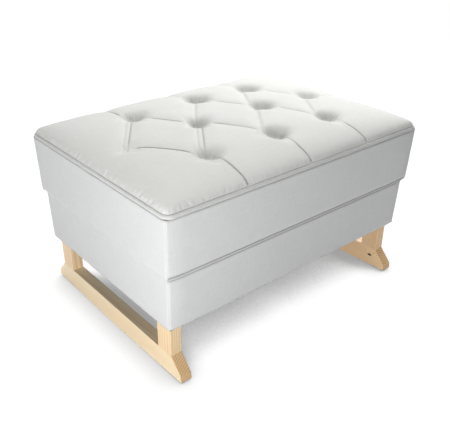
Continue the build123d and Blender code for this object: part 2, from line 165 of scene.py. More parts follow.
class Tree:
    """A node tree whose nodes all come from one method."""

    def __init__(self, nodes: bpy.types.NodeTree) -> None:
        """Start on an empty node tree."""
        self.tree = nodes
        self.tree.nodes.clear()

    def add(self, kind: str, settings: dict[str, Any], values: dict[Any, Any]) -> bpy.types.Node:
        """Add a node.

        Args:
            kind: The node's type.
            settings: Properties that are set before the sockets, such as an operation.
            values: Socket name or number to a Wire that is linked to it, or the value that it is given.

        Returns:
            The node.
        """
        node = self.tree.nodes.new(kind)
        for key, value in settings.items():
            setattr(node, key, value)
        for key, value in values.items():
            if isinstance(value, Wire):
                self.tree.links.new(value.socket, node.inputs[key])
            elif isinstance(value, tuple) and len(value) == 3 and len(node.inputs[key].default_value) == 4:
                node.inputs[key].default_value = (*value, 1.0)
            else:
                node.inputs[key].default_value = value
        return node

    def node(self, kind: str, settings: dict[str, Any], values: dict[Any, Any], output: Any = 0) -> Wire:
        """Add a node and return one of its outputs.

        Args:
            kind: The node's type.
            settings: Properties that are set before the sockets.
            values: Socket name or number to a Wire or a value.
            output: Name or number of the output.

        Returns:
            The output as a Wire.
        """
        return Wire(self, self.add(kind, settings, values).outputs[output])

    def mix(self, share: Wire | float, first: Wire | Colour, second: Wire | Colour) -> Wire:
        """Mix two colours.

        Args:
            share: How much of the second colour there is, from 0 to 1.
            first: Colour at share 0.
            second: Colour at share 1.

        Returns:
            The mixed colour.
        """
        values = {"Factor": share, "A": first, "B": second}
        node = self.add("ShaderNodeMix", {"data_type": "RGBA"}, {})
        for key, value in values.items():
            wanted = "VALUE" if key == "Factor" else "RGBA"
            socket = next(s for s in node.inputs if s.name == key and s.type == wanted)
            if isinstance(value, Wire):
                self.tree.links.new(value.socket, socket)
            else:
                socket.default_value = (*value, 1.0) if wanted == "RGBA" else value
        return Wire(self, next(s for s in node.outputs if s.type == "RGBA"))

    def place(self, centre: Point = (0, 0, 0), turn: Point = (0, 0, 0), scale: Point = (1, 1, 1)) -> Wire:
        """Object coordinates, moved, turned and scaled by a Mapping node.

        Args:
            centre: Point of the object that becomes the pattern's origin.
            turn: Turn about the axes, in radians.
            scale: Factor on each axis.

        Returns:
            The pattern's coordinates.
        """
        where = self.node("ShaderNodeTexCoord", {}, {}, "Object")
        values = {"Vector": where, "Location": centre, "Rotation": turn, "Scale": scale}
        return self.node("ShaderNodeMapping", {"vector_type": "TEXTURE"}, values)

    def stretch(self, where: Wire, scale: Point) -> Wire:
        """Coordinates multiplied by a factor on each axis."""
        return self.node("ShaderNodeVectorMath", {"operation": "MULTIPLY"}, {0: where, 1: scale})

    def noise(self, where: Wire, scale: float, detail: float = 2.0, roughness: float = 0.5) -> Wire:
        """Noise around 0.5.

        Args:
            where: Coordinates.
            scale: Cells per metre of the coordinates.
            detail: Octaves.
            roughness: Weight of the fine octaves.

        Returns:
            The noise's value.
        """
        values = {"Vector": where, "Scale": scale, "Detail": detail, "Roughness": roughness}
        return self.node("ShaderNodeTexNoise", {}, values, "Fac")

    def seen(self) -> Wire:
        """One for rays that come from the camera, a reflection or a clear piece, and otherwise nothing.

        Returns:
            The share.
        """
        path = self.add("ShaderNodeLightPath", {}, {})
        rays = ("Is Camera Ray", "Is Glossy Ray", "Is Transmission Ray")
        camera, glossy, clear = (Wire(self, path.outputs[ray]) for ray in rays)
        return (camera + glossy + clear).smooth(0.0, 1.0)

    def open_air(self, reach: float, samples: int) -> Wire:
        """How free a point is of other surfaces.

        Args:
            reach: Distance within which surfaces count.
            samples: Number of directions that are looked in.

        Returns:
            One in the open, and down to nothing in a crease or under a piece.
        """
        return self.node("ShaderNodeAmbientOcclusion", {"samples": samples}, {"Distance": reach}, "AO")

    def split(self, where: Wire) -> tuple[Wire, Wire, Wire]:
        """The three components of a vector."""
        node = self.add("ShaderNodeSeparateXYZ", {}, {0: where})
        return Wire(self, node.outputs[0]), Wire(self, node.outputs[1]), Wire(self, node.outputs[2])

    def bump(self, height: Wire, strength: float, distance: float) -> Wire:
        """Normal that is bent by a height in units of distance."""
        values = {"Height": height, "Strength": strength, "Distance": distance}
        return self.node("ShaderNodeBump", {}, values)


# --------------------------------------------------------------------------------------------------
# Finishes
# --------------------------------------------------------------------------------------------------


def shader(name: str) -> tuple[bpy.types.Material, Tree]:
    """Make an empty node material.

    Args:
        name: The material's name.

    Returns:
        The material and its tree.
    """
    material = bpy.data.materials.new(name)
    material.use_nodes = True
    return material, Tree(material.node_tree)


def surface(tree: Tree, values: dict[str, Any]) -> None:
    """End a material in a Principled BSDF with these values and links."""
    bsdf = tree.add("ShaderNodeBsdfPrincipled", {}, values)
    tree.add("ShaderNodeOutputMaterial", {}, {"Surface": Wire(tree, bsdf.outputs[0])})


@dataclass(frozen=True)
class WovenCloth:
    """Fine plain-woven upholstery cloth with uneven threads.

    Attributes:
        name: The material's name.
        thread: Colour of its lighter places.
        shade: Colour of its darker places.
        thread_pitch: Width of one pair of threads, in metres.
        slub_cells: Uneven places of a thread per metre across it.
        slub_draw: Factor on the distance along the thread, which draws them out.
        slub_contrast: How much the colour follows them.
        slub_rise: Share of the relief that follows them.
        weave_contrast: Share of the colour that follows the weave.
        weave_rise: Share of the relief that follows the weave.
        mottle_cells: Cloudy places per metre.
        mottle: Share of the colour that follows them.
        relief: Height of the threads, in metres.
        roughness: Middle of its roughness.
        roughness_range: How much the roughness varies round that.
        crease_reach: Distance within which nearby surfaces make painted shade in a crease or seam, in
            metres.
        crease_share: How much darker than the shade colour the painted shade in the deepest crease is.
    """

    name: str
    thread: Colour
    shade: Colour
    thread_pitch: float = 0.0011
    slub_cells: float = 520.0
    slub_draw: float = 0.07
    slub_contrast: float = 0.30
    slub_rise: float = 1.3
    weave_contrast: float = 0.06
    weave_rise: float = 0.35
    mottle_cells: float = 26.0
    mottle: float = 0.12
    relief: float = 0.00018
    roughness: float = 0.92
    roughness_range: float = 0.12
    crease_reach: float = 0.012
    crease_share: float = 0.52

    def material(self) -> bpy.types.Material:
        """Build the material on the piece's own cloth map, with painted shade that darkens the creases and
        seams.

        Returns:
            The material.
        """
        material, tree = shader(self.name)
        laid = tree.node("ShaderNodeUVMap", {"uv_map": "cloth"}, {})
        u, v, _ = tree.split(laid)
        turns = 2 * math.pi / self.thread_pitch
        warp_slub = tree.noise(tree.stretch(laid, (1.0, self.slub_draw, 1.0)), self.slub_cells, 2.0)
        weft_slub = tree.noise(tree.stretch(laid, (self.slub_draw, 1.0, 1.0)), self.slub_cells, 2.0)
        slub = warp_slub * 0.5 + weft_slub * 0.5
        cloud = tree.noise(laid, self.mottle_cells, 3.0, 0.6)
        weave = (u * turns).sine() * (v * turns).sine()
        share = (slub - 0.5) * (2.2 * self.slub_contrast) + (cloud - 0.5) * self.mottle
        share = share + weave * self.weave_contrast + 0.5
        colour = tree.mix(share.smooth(0.0, 1.0), self.shade, self.thread)
        # Painted shade: the colour darkens towards the crease colour where other surfaces are close, in
        # creases, seams and pits.
        crease = tuple(c * (1.0 - self.crease_share) for c in self.shade)
        colour = tree.mix(tree.open_air(self.crease_reach, 8).smooth(0.3, 1.0), crease, colour)
        height = weave * self.weave_rise + slub * self.slub_rise
        values = {
            "Base Color": colour,
            "Roughness": slub * self.roughness_range + (self.roughness - self.roughness_range / 2),
            "Specular IOR Level": 0.25,
            "Sheen Weight": 0.18,
            "Sheen Roughness": 0.45,
            "Normal": tree.bump(height, 0.55, self.relief),
        }
        surface(tree, values)
        return material


class Grain(Enum):
    """Direction that the fibres of a timber run in."""

    ACROSS = (0.0, math.pi / 2, 0.0)
    ALONG = (math.pi / 2, 0.0, 0.0)
    UPRIGHT = (0.0, 0.0, 0.0)

    def fibre(self) -> Point:
        """Unit vector along the fibres."""
        return {"ACROSS": (1.0, 0.0, 0.0), "ALONG": (0.0, 1.0, 0.0), "UPRIGHT": (0.0, 0.0, 1.0)}[self.name]


@dataclass(frozen=True)
class Timber:
    """Planed timber: growth rings round a heart outside the piece, pores and streaks along the fibres.

    Attributes:
        name: The material's name.
        early: Colour of the wide early wood.
        late: Colour of the thin late wood.
        streak: Colour of the broad streaks.
        heart: Point on the line that the rings run round.
        grain: Direction of the fibres.
        ring_pitch: Distance from ring to ring, in metres.
        gloss: Roughness of the early wood.
        coat: Weight of the varnish.
        end_light: Colour of the end grain's early wood.
        end_dark: Colour of its late wood.
        knot: Middle of a knot, if the piece has one.
        knot_size: Extent of the knot along the axes.
        knot_colour: Colour of the knot.
        knot_swirl: How far the rings swerve round the knot.
        ring_wander: How far the rings stray over a hand's breadth.
        ring_ripple: How far they stray over a finger's breadth.
        ring_contrast: Share of the colour that follows the rings.
        fibre_contrast: Share of the colour that follows the fibres.
        streak_share: Share of the streaks' colour where they are strongest.
        end_share: Share of the end grain's own colours where the fibres are cut across.
        relief: Depth of the pores, in metres.
    """

    name: str
    early: Colour
    late: Colour
    streak: Colour
    heart: Point
    grain: Grain
    ring_pitch: float = 0.0036
    gloss: float = 0.46
    coat: float = 0.18
    end_light: Colour = (0.72, 0.46, 0.22)
    end_dark: Colour = (0.50, 0.27, 0.10)
    knot: Point | None = None
    knot_size: Point = (0.02, 0.0105, 0.0055)
    knot_colour: Colour = (0.075, 0.03, 0.012)
    knot_swirl: float = 0.012
    ring_wander: float = 0.016
    ring_ripple: float = 0.0016
    ring_contrast: float = 0.75
    fibre_contrast: float = 0.45
    streak_share: float = 0.60
    end_share: float = 0.8
    relief: float = 0.00012

    def material(self) -> bpy.types.Material:
        """Build the material on Object coordinates, so that the end grain shows the rings.

        Returns:
            The material.
        """
        material, tree = shader(self.name)
        where = tree.place(self.heart, self.grain.value)
        drawn = tree.stretch(where, (1.0, 1.0, 0.06))
        wander = tree.noise(drawn, 14.0, 2.0)
        ripple = tree.noise(drawn, 55.0, 2.0)
        x, y, _ = tree.split(where)
        radius = (x**2.0 + y**2.0) ** 0.5
        rings = radius + (wander - 0.5) * self.ring_wander + (ripple - 0.5) * self.ring_ripple
        knot_mask = None
        if self.knot is not None:
            near = tree.place(self.knot, scale=self.knot_size)
            reach = tree.node("ShaderNodeVectorMath", {"operation": "LENGTH"}, {0: near}, "Value")
            knot_mask = reach.smooth(0.62, 0.34)
            swirl = reach.smooth(2.8, 0.3)
            rings = rings + swirl * self.knot_swirl
        band = (rings / self.ring_pitch).fraction()
        late = band.smooth(0.35, 0.93) * band.smooth(1.0, 0.95)
        fibre = tree.noise(tree.stretch(where, (1.0, 1.0, 0.022)), 900.0, 2.0, 0.6)
        broad = tree.noise(tree.stretch(where, (1.0, 1.0, 0.12)), 34.0, 2.0)
        ring_share = late * self.ring_contrast + (fibre - 0.5) * self.fibre_contrast
        colour = tree.mix(ring_share, self.early, self.late)
        colour = tree.mix((broad - 0.36).smooth(0.0, 0.4) * self.streak_share, colour, self.streak)
        facing = tree.node("ShaderNodeTexCoord", {}, {}, "Normal")
        both = {0: facing, 1: self.grain.fibre()}
        along = tree.node("ShaderNodeVectorMath", {"operation": "DOT_PRODUCT"}, both, "Value")
        cut = along.distance(0.0).smooth(0.25, 0.70)
        end_colour = tree.mix(late, self.end_light, self.end_dark)
        colour = tree.mix(cut * self.end_share, colour, end_colour)
        if knot_mask is not None:
            colour = tree.mix(knot_mask, colour, self.knot_colour)
        pore = fibre.smooth(0.38, 0.28)
        height = 0.0 - late * 0.3 - pore * 0.5 + fibre * 0.4
        values = {
            "Base Color": colour,
            "Roughness": late * 0.08 + pore * 0.12 + self.gloss,
            "Coat Weight": self.coat,
            "Coat Roughness": 0.3,
            "Normal": tree.bump(height, 0.35, self.relief),
        }
        surface(tree, values)
        return material


@dataclass(frozen=True)
class Grained:
    """Plain stuff with a fine random grain, such as twine, moulded plastic, steel or bonded cloth."""

    name: str
    light: Colour
    dark: Colour
    cells: float
    roughness: float
    relief: float
    metallic: float = 0.0

    def material(self) -> bpy.types.Material:
        """Build the material on Object coordinates.

        Returns:
            The material.
        """
        material, tree = shader(self.name)
        where = tree.place()
        fine = tree.noise(where, self.cells, 3.0, 0.65)
        broad = tree.noise(where, self.cells * 0.06, 2.0)
        share = fine * 0.7 + broad * 0.3
        values = {
            "Base Color": tree.mix(share.smooth(0.25, 0.75), self.dark, self.light),
            "Roughness": fine * 0.16 + (self.roughness - 0.08),
            "Metallic": self.metallic,
            "Normal": tree.bump(fine, 0.5, self.relief),
        }
        surface(tree, values)
        return material


@dataclass(frozen=True)
class Finishes:
    """All the finishes of the stool, by the slot of the record that each one belongs to."""

    cushion_cloth: WovenCloth = WovenCloth("cushion_cloth", (0.80, 0.80, 0.775), (0.66, 0.66, 0.64))
    wall_cloth: WovenCloth = WovenCloth("wall_cloth", (0.775, 0.78, 0.775), (0.62, 0.625, 0.63))
    piping_cloth: WovenCloth = WovenCloth("piping_cloth", (0.74, 0.74, 0.73), (0.60, 0.60, 0.595), 0.0009)
    bottom_cloth: Grained = Grained(
        "bottom_cloth", (0.09, 0.09, 0.095), (0.05, 0.05, 0.055),
        cells=900.0, roughness=0.95, relief=0.0002,
    )
    twine: Grained = Grained(
        "twine", (0.7, 0.66, 0.56), (0.55, 0.5, 0.4),
        cells=1500.0, roughness=0.8, relief=0.0001,
    )
    dowel_timber: Timber = Timber(
        "dowel_timber", (0.76, 0.6, 0.4), (0.62, 0.46, 0.28), (0.7, 0.53, 0.34),
        heart=(0.03, 0.05, 0.0), grain=Grain.UPRIGHT,
    )
    frame_timber: Timber = Timber(
        "frame_timber", (0.78, 0.62, 0.41), (0.6, 0.42, 0.23), (0.7, 0.5, 0.3),
        heart=(0.0, 0.11, 0.31), grain=Grain.ACROSS,
    )
    board: Timber = Timber(
        "board", (0.7, 0.55, 0.36), (0.6, 0.45, 0.28), (0.64, 0.48, 0.3),
        heart=(0.0, 0.9, 0.3), grain=Grain.ACROSS, ring_pitch=0.009,
    )
    steel: Grained = Grained(
        "steel", (0.66, 0.66, 0.64), (0.5, 0.5, 0.48),
        cells=700.0, roughness=0.36, relief=0.00004, metallic=1.0,
    )
    toggle_plastic: Grained = Grained(
        "toggle_plastic", (0.86, 0.86, 0.83), (0.8, 0.8, 0.77),
        cells=500.0, roughness=0.5, relief=0.00004,
    )


# --------------------------------------------------------------------------------------------------
# Sizes shared by the pieces
# --------------------------------------------------------------------------------------------------


class End(Enum):
    """The two ends of the stool."""

    left = -1
    right = 1


class Side(Enum):
    """The two long sides of the stool."""

    front = -1
    back = 1


@dataclass(frozen=True)
class BoxSize:
    """Outer sizes of the upholstered box, as the model has them.

    Attributes:
        top_length: Length over the upper walls at the seat line.
        top_width: Width over them.
        bottom_length: Length at the bottom.
        bottom_width: Width at the bottom.
        bottom: Height of the bottom.
        step: Height of the step where the upper walls overhang.
        step_in: How far the lower walls stand back under it.
        slope: Height over which an end's cloth leans out to the upper walls.
        seat_line: Height of the piping round the seat.
        wall_top: Upper edge of the cloth on the walls.
        cushion_bottom: Lower edge of the cushion's cloth.
        corner_dip: How far a long side's soft face falls back at the corner.
        corner_run: Distance from the corner over which it does so.
        corner_power: How fast it does so.
    """

    top_length: float = 0.600
    top_width: float = 0.434
    bottom_length: float = 0.5825
    bottom_width: float = 0.4045
    bottom: float = 0.109
    step: float = 0.216
    step_in: float = 0.006
    slope: float = 0.012
    seat_line: float = 0.3215
    wall_top: float = 0.3186
    cushion_bottom: float = 0.326
    corner_dip: float = 0.0026
    corner_run: float = 0.036
    corner_power: float = 2.2

    def corner_fall(self, from_corner: np.ndarray) -> np.ndarray:
        """How far a long side's soft face falls back near its two corners.

        Args:
            from_corner: Distances from the corner along the wall.

        Returns:
            Distances behind the flat face.
        """
        return self.corner_dip * np.maximum(1 - from_corner / self.corner_run, 0.0) ** self.corner_power

    def half_length(self, height: float, inset: float = 0.0) -> float:
        """Half of the box's length at a height, in from the upper walls' outer face."""
        lean = ((self.top_length - self.bottom_length) / 2 - self.step_in) / (self.seat_line - self.bottom)
        return self.top_length / 2 - (self.seat_line - height) * lean - inset

    def half_width(self, height: float, inset: float = 0.0) -> float:
        """Half of the box's width at a height, in from the upper walls' outer face."""
        lean = ((self.top_width - self.bottom_width) / 2 - self.step_in) / (self.seat_line - self.bottom)
        return self.top_width / 2 - (self.seat_line - height) * lean - inset


BOX = BoxSize()


# --------------------------------------------------------------------------------------------------
# Meshes
# --------------------------------------------------------------------------------------------------


def new_piece(
    name: str, vertices: np.ndarray, faces: Sequence[Sequence[int]], cloth: np.ndarray
) -> bpy.types.Object:
    """Make a mesh object at the origin with a cloth map.

    Args:
        name: The piece's name.
        vertices: Vertex positions, one row each.
        faces: Vertex numbers of each face, counter-clockwise from outside.
        cloth: Place of each vertex on the flat cloth, in metres.

    Returns:
        The object, smooth shaded.
    """
    mesh = bpy.data.meshes.new(name)
    mesh.from_pydata(vertices.tolist(), [], [list(map(int, f)) for f in faces])
    mesh.validate()
    loops = np.zeros(len(mesh.loops), dtype=np.int32)
    mesh.loops.foreach_get("vertex_index", loops)
    layer = mesh.uv_layers.new(name="cloth")
    layer.data.foreach_set("uv", cloth[loops].astype(np.float32).ravel())
    mesh.polygons.foreach_set("use_smooth", np.ones(len(mesh.polygons), dtype=bool))
    mesh.update()
    piece = bpy.data.objects.new(name, mesh)
    bpy.context.scene.collection.objects.link(piece)
    return piece


def grid_faces(rows: int, columns: int, start: int = 0) -> np.ndarray:
    """Quads of a grid of vertices that is stored row by row.

    Args:
        rows: Number of rows.
        columns: Vertices in each row.
        start: Number of the first vertex.

    Returns:
        One row of four vertex numbers for each quad.
    """
    r, c = np.meshgrid(np.arange(rows - 1), np.arange(columns - 1), indexing="ij")
    first = r * columns + c
    quads = [first, first + 1, first + columns + 1, first + columns]
    return np.stack(quads, axis=-1).reshape(-1, 4) + start


def rim_loop(rows: int, columns: int) -> list[int]:
    """Vertices round the border of a grid that is stored row by row.

    Args:
        rows: Number of rows.
        columns: Vertices in each row.

    Returns:
        Vertex numbers, from the first vertex along the first row and once round.
    """
    loop = list(range(columns))
    loop += [(r + 1) * columns - 1 for r in range(1, rows)]
    loop += [rows * columns - 1 - c for c in range(1, columns)]
    loop += [r * columns for r in range(rows - 2, 0, -1)]
    return loop


def band_faces(near: Sequence[int], far: Sequence[int]) -> list[list[int]]:
    """Quads between two closed loops of the same number of vertices.

    Args:
        near: Vertex numbers of the loop on the outer face.
        far: Vertex numbers of the loop behind or under it.

    Returns:
        Four vertex numbers for each quad.
    """
    after = [(i + 1) % len(near) for i in range(len(near))]
    return [[near[j], near[i], far[i], far[j]] for i, j in enumerate(after)]


def dress(
    piece: bpy.types.Object, material: bpy.types.Material, slot: str, *nodes: str
) -> bpy.types.Object:
    """Give a finished piece its material and its place in the model.

    Args:
        piece: The object.
        material: Its material.
        slot: Slot of the record that it takes its finish from; not used.
        nodes: Solids of the model that it stands for.

    Returns:
        The piece.
    """
    piece.data.materials.clear()
    piece.data.materials.append(material)
    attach(piece, "root")
    if nodes:
        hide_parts(*nodes)
    stands_for = ", ".join(nodes) or "nothing"
    LOG.info("%s: %d faces, stands for %s", piece.name, len(piece.data.polygons), stands_for)
    return piece


# --------------------------------------------------------------------------------------------------
# The tufted cushion
# --------------------------------------------------------------------------------------------------


@dataclass(frozen=True)
class Well:
    """Pit that a blind tuft draws into the seat; its near edge is a straight lip.

    Attributes:
        left: Left end of the near edge.
        right: Right end of the near edge.
        bow: How far the lap that leaves the right end bows out.
        bottom: Height of the pit's bottom above the floor.
        gathers: Number of small gathers in the pit's wall.
    """

    left: tuple[float, float]
    right: tuple[float, float]
    bow: float = 0.0
    bottom: float = 0.3420
    gathers: int = 12

    def frame(self) -> tuple[np.ndarray, np.ndarray, np.ndarray, float]:
        """Work out how the well's near edge lies.

        Returns:
            Middle of the near edge, directions along it and away from it, and half of its length.
        """
        left, right = np.array(self.left), np.array(self.right)
        half = float(np.linalg.norm(right - left)) / 2
        along = (right - left) / (2 * half)
        return (left + right) / 2, along, np.array([-along[1], along[0]]), half


@dataclass(frozen=True)
class Stop:
    """Place where a lap reaches the seat's border, and how far the stretch that leaves it bows out."""

    place: tuple[float, float]
    bow: float = 0.0


class Lap:
    """Line in plan along which the cloth of the near side laps over the far side.

    PULL places the handles of each stretch's bend, as a share of its length, and STEPS is the number
    of its points.
    """

    PULL = 0.30
    STEPS = 24

    def __init__(self, stops: Sequence[Well | Stop]) -> None:
        """Join the stops.

        Args:
            stops: Wells and borders from the back to the front.
        """
        pieces = []
        for first, last in zip(stops, stops[1:]):
            start = np.array(first.place if isinstance(first, Stop) else first.right)
            end = np.array(last.place if isinstance(last, Stop) else last.left)
            chord = end - start
            aside = np.array([-chord[1], chord[0]]) / np.linalg.norm(chord) * first.bow * 4 / 3
            first_pull = start + chord * self.PULL + aside
            last_pull = end - chord * self.PULL + aside
            share = np.linspace(0.0, 1.0, self.STEPS)[:, None]
            rest = 1 - share
            bend = rest**3 * start + 3 * rest**2 * share * first_pull + 3 * rest * share**2 * last_pull
            pieces.append(bend + share**3 * end)
        self.points = np.concatenate(pieces)
        self.wells = [stop for stop in stops if isinstance(stop, Well)]

    def measure(
        self, x: np.ndarray, y: np.ndarray
    ) -> tuple[np.ndarray, np.ndarray, np.ndarray, np.ndarray]:
        """Where points lie from the line.

        Args:
            x: Places along the stool.
            y: Places across it.

        Returns:
            Distance from the line, above zero on its far side; the direction to the far side, as two
            arrays; and how far the points lie past the line's ends.
        """
        best = np.full(x.shape, np.inf)
        off, past = np.zeros_like(x), np.zeros_like(x)
        normal_x, normal_y = np.ones_like(x), np.zeros_like(x)
        last = len(self.points) - 2
        for i, (start, end) in enumerate(zip(self.points, self.points[1:])):
            length = float(np.linalg.norm(end - start))
            if length < 1e-6:
                continue
            along = (end - start) / length
            dx, dy = x - start[0], y - start[1]
            run = dx * along[0] + dy * along[1]
            side = dy * along[0] - dx * along[1]
            outside = np.maximum(np.maximum(-run, run - length), 0.0)
            square = side**2 + outside**2
            closer = square < best
            best = np.where(closer, square, best)
            off = np.where(closer, np.sign(side + 1e-15) * np.sqrt(square), off)
            normal_x = np.where(closer, -along[1], normal_x)
            normal_y = np.where(closer, along[0], normal_y)
            before = np.maximum(-run, 0.0) if i == 0 else 0.0
            after = np.maximum(run - length, 0.0) if i == last else 0.0
            past = np.where(closer, before + after, past)
        return off, normal_x, normal_y, past


@dataclass(frozen=True)
class CrossFold:
    """Fold across the laps, from well to well, as a flap with a lip or as a soft valley.

    Attributes:
        start: The end at the back.
        end: The end at the front.
        depth: Depth of the fold.
        width: Its width.
        flap: Distance from the lip to the turn of a flap, or nothing for a valley.
        fade: Distance past the ends over which the fold fades.
        bowl_depth: Depth of the soft hollow that the fold lies in.
        bowl_width: Its width.
        lip_share: Share of the depth before a flap's lip.
        lip_width: Distance over which the lip falls.
        turn_share: Share of the depth at the turn.
        turn_width: Width of the turn.
    """

    start: tuple[float, float]
    end: tuple[float, float]
    depth: float
    width: float
    flap: float = 0.0
    fade: float = 0.010
    bowl_depth: float = 0.0035
    bowl_width: float = 0.017
    lip_share: float = 0.12
    lip_width: float = 0.001
    turn_share: float = 0.55
    turn_width: float = 0.0026

    def depths(self, x: np.ndarray, y: np.ndarray) -> np.ndarray:
        """How far the fold draws the surface in.

        Args:
            x: Places along the stool.
            y: Places across it.

        Returns:
            Depths.
        """
        start, end = np.array(self.start), np.array(self.end)
        length = float(np.linalg.norm(end - start))
        along = (end - start) / length
        run = ((x - start[0]) * along[0] + (y - start[1]) * along[1]) / length
        t = (y - start[1]) * along[0] - (x - start[0]) * along[1]
        past = np.maximum(np.abs(run - 0.5) - 0.5, 0.0) * length
        fade = np.exp(-((past / self.fade) ** 2))
        bowl = self.bowl_depth * np.exp(-((t / self.bowl_width) ** 2))
        if not self.flap:
            return (self.depth * np.exp(-((t / self.width) ** 2)) + bowl) * fade
        behind = np.exp(-np.maximum(t, 0.0) / self.width)
        before = self.lip_share * np.exp(np.minimum(t, 0.0) / self.lip_width)
        turn = self.turn_share * np.exp(-(((t + self.flap) / self.turn_width) ** 2))
        return (self.depth * (np.where(t > 0, behind, before) + turn) + bowl) * fade


@dataclass
class TuftedCushion:
    """Seat cushion: cloth over fibre and foam, drawn down by blind tufts with laps and folds between.

    Attributes:
        inset: How far the lower edge stands back from the walls.
        height: Height from the lower edge to the top of the crown.
        dome: Part of the height that is a gentle dome.
        roll_width: Width of the rounded border.
        sag: How far the middle sinks.
        sag_length: Half of the sunk part's length.
        sag_width: Half of its width.
        corner_sharpness: How square the roll runs round the corners.
        corner_radius: Radius of the corners in plan.
        edge_level: Height of a well's near edge.
        wall_reach: Distance over which a well's far wall rises.
        wall_power: How steep that wall is.
        wall_start: Width of a well's floor past its edge.
        lip_reach: Distance over which a well fades under its near edge.
        shelf_back: Reach of the soft hollow behind the near edge.
        shelf_front: Reach of the soft hollow before it.
        gather_centre: Distance before the edge of the point that the gathers run from.
        gather_rise: Distance over which a gather starts.
        lap_step: Height of a lap's step.
        front_ease: Share of the step that is lost at the front seam.
        ease_start: Place across the stool where that starts.
        ease_run: Distance over which it does so.
        lap_width: Width of the lap's rounded shoulder.
        lap_fade: Distance past its ends over which a lap fades.
        near_dip: Depth of the soft hollow on the near side of a lap.
        far_dip: Depth of the soft hollow on its far side.
        dip_width: Width of those hollows.
        pull_share: Share of its distance that the cloth is pulled towards a lap.
        pull_width: Distance within which it is pulled.
        pull_fade: Distance past a lap's ends over which that fades.
        pull_rim: Distance from the border over which that fades.
        blend: How sharply pits and folds run into each other.
        upright_depth: Depth from which a pit is drawn straight down.
        held_rim: Width of the seam that stays where it is.
        seam_window: Distance from its middle beyond which a gather of the seam is left out.
        edge_inset: How far the cloth turns in under the lower edge.
        foam_length: Half of the foam's length.
        foam_width: Half of its width.
        foam_bottom: Height of its lower face.
        spacing: Distance between the lines of the grid.
        border_band: Width of the border with closer lines.
        border_lines: Number of lines in it.
        seed: Start of the random gathers.
        wells: The wells, by name.
    """

    inset: float = 0.003
    height: float = 0.042
    dome: float = 0.014
    roll_width: float = 0.110
    sag: float = 0.0055
    sag_length: float = 0.235
    sag_width: float = 0.105
    corner_sharpness: float = 2.0
    corner_radius: float = 0.012
    edge_level: float = 0.3475
    wall_reach: float = 0.0235
    wall_power: float = 4.2
    wall_start: float = 0.004
    lip_reach: float = 0.014
    shelf_back: float = 0.016
    shelf_front: float = 0.045
    gather_centre: float = 0.006
    gather_rise: float = 0.008
    lap_step: float = 0.0054
    front_ease: float = 0.50
    ease_start: float = -0.122
    ease_run: float = 0.03
    lap_width: float = 0.0052
    lap_fade: float = 0.010
    near_dip: float = 0.0020
    far_dip: float = 0.0040
    dip_width: float = 0.018
    pull_share: float = 0.8
    pull_width: float = 0.0022
    pull_fade: float = 0.004
    pull_rim: float = 0.012
    blend: float = 2.4
    upright_depth: float = 0.006
    held_rim: float = 0.0008
    seam_window: float = 0.012
    edge_inset: float = 0.0022
    foam_length: float = 0.290
    foam_width: float = 0.207
    foam_bottom: float = 0.3125
    spacing: float = 0.0013
    border_band: float = 0.020
    border_lines: int = 16
    seed: int = 11
    wells: dict[str, Well] = field(
        default_factory=lambda: {
            "back_left": Well((-0.168, 0.1045), (-0.140, 0.0815), 0.001),
            "back_middle": Well((-0.019, 0.1125), (0.014, 0.0865), -0.004),
            "back_right": Well((0.113, 0.1100), (0.144, 0.0795), -0.001),
            "middle_left": Well((-0.251, -0.0140), (-0.2235, -0.0300), 0.006, 0.3485, 3),
            "inner_left": Well((-0.0935, -0.0020), (-0.0705, -0.0190), 0.007),
            "inner_right": Well((0.0615, 0.0030), (0.0885, -0.0240), 0.005),
            "middle_right": Well((0.1875, -0.0030), (0.2145, -0.0260)),
            "front_left": Well((-0.169, -0.1175), (-0.144, -0.1455), -0.002),
            "front_middle": Well((-0.019, -0.1175), (0.004, -0.1495), -0.003, 0.3420, 15),
            "front_right": Well((0.118, -0.1165), (0.142, -0.1435), -0.003, 0.3420, 15),
        }
    )

    def laps(self) -> list[Lap]:
        """Lay the laps through the wells.

        Returns:
            The laps, each from the back to the front.
        """
        wells = self.wells
        return [
            Lap([Stop((-0.163, 0.208)), wells["back_left"], wells["inner_left"], wells["front_middle"]]
                + [Stop((0.002, -0.2135))]),
            Lap([wells["middle_left"], wells["front_left"], Stop((-0.141, -0.2135))]),
            Lap([Stop((-0.020, 0.208)), wells["back_middle"], wells["inner_right"], wells["front_right"]]
                + [Stop((0.148, -0.2135))]),
            Lap([Stop((0.112, 0.208)), wells["back_right"], wells["middle_right"], Stop((0.292, -0.030))]),
        ]

    def reach(self) -> tuple[float, float]:
        """Half of the cushion's length and width at its lower edge."""
        line = BOX.seat_line
        return BOX.half_length(line, self.inset), BOX.half_width(line, self.inset)

    def stations(self, reach: float) -> np.ndarray:
        """Places of the grid lines across the cushion, closer together at the border.

        Args:
            reach: Half of the cushion's extent.

        Returns:
            Places from -reach to reach.
        """
        inner = reach - self.border_band
        count = int(round(inner / self.spacing))
        middle = np.linspace(0.0, inner, count + 1)
        lines = np.arange(1, self.border_lines + 1) / self.border_lines
        border = inner + self.border_band * np.sin(np.pi / 2 * lines)
        half = np.concatenate([middle, border])
        return np.concatenate([-half[:0:-1], half])

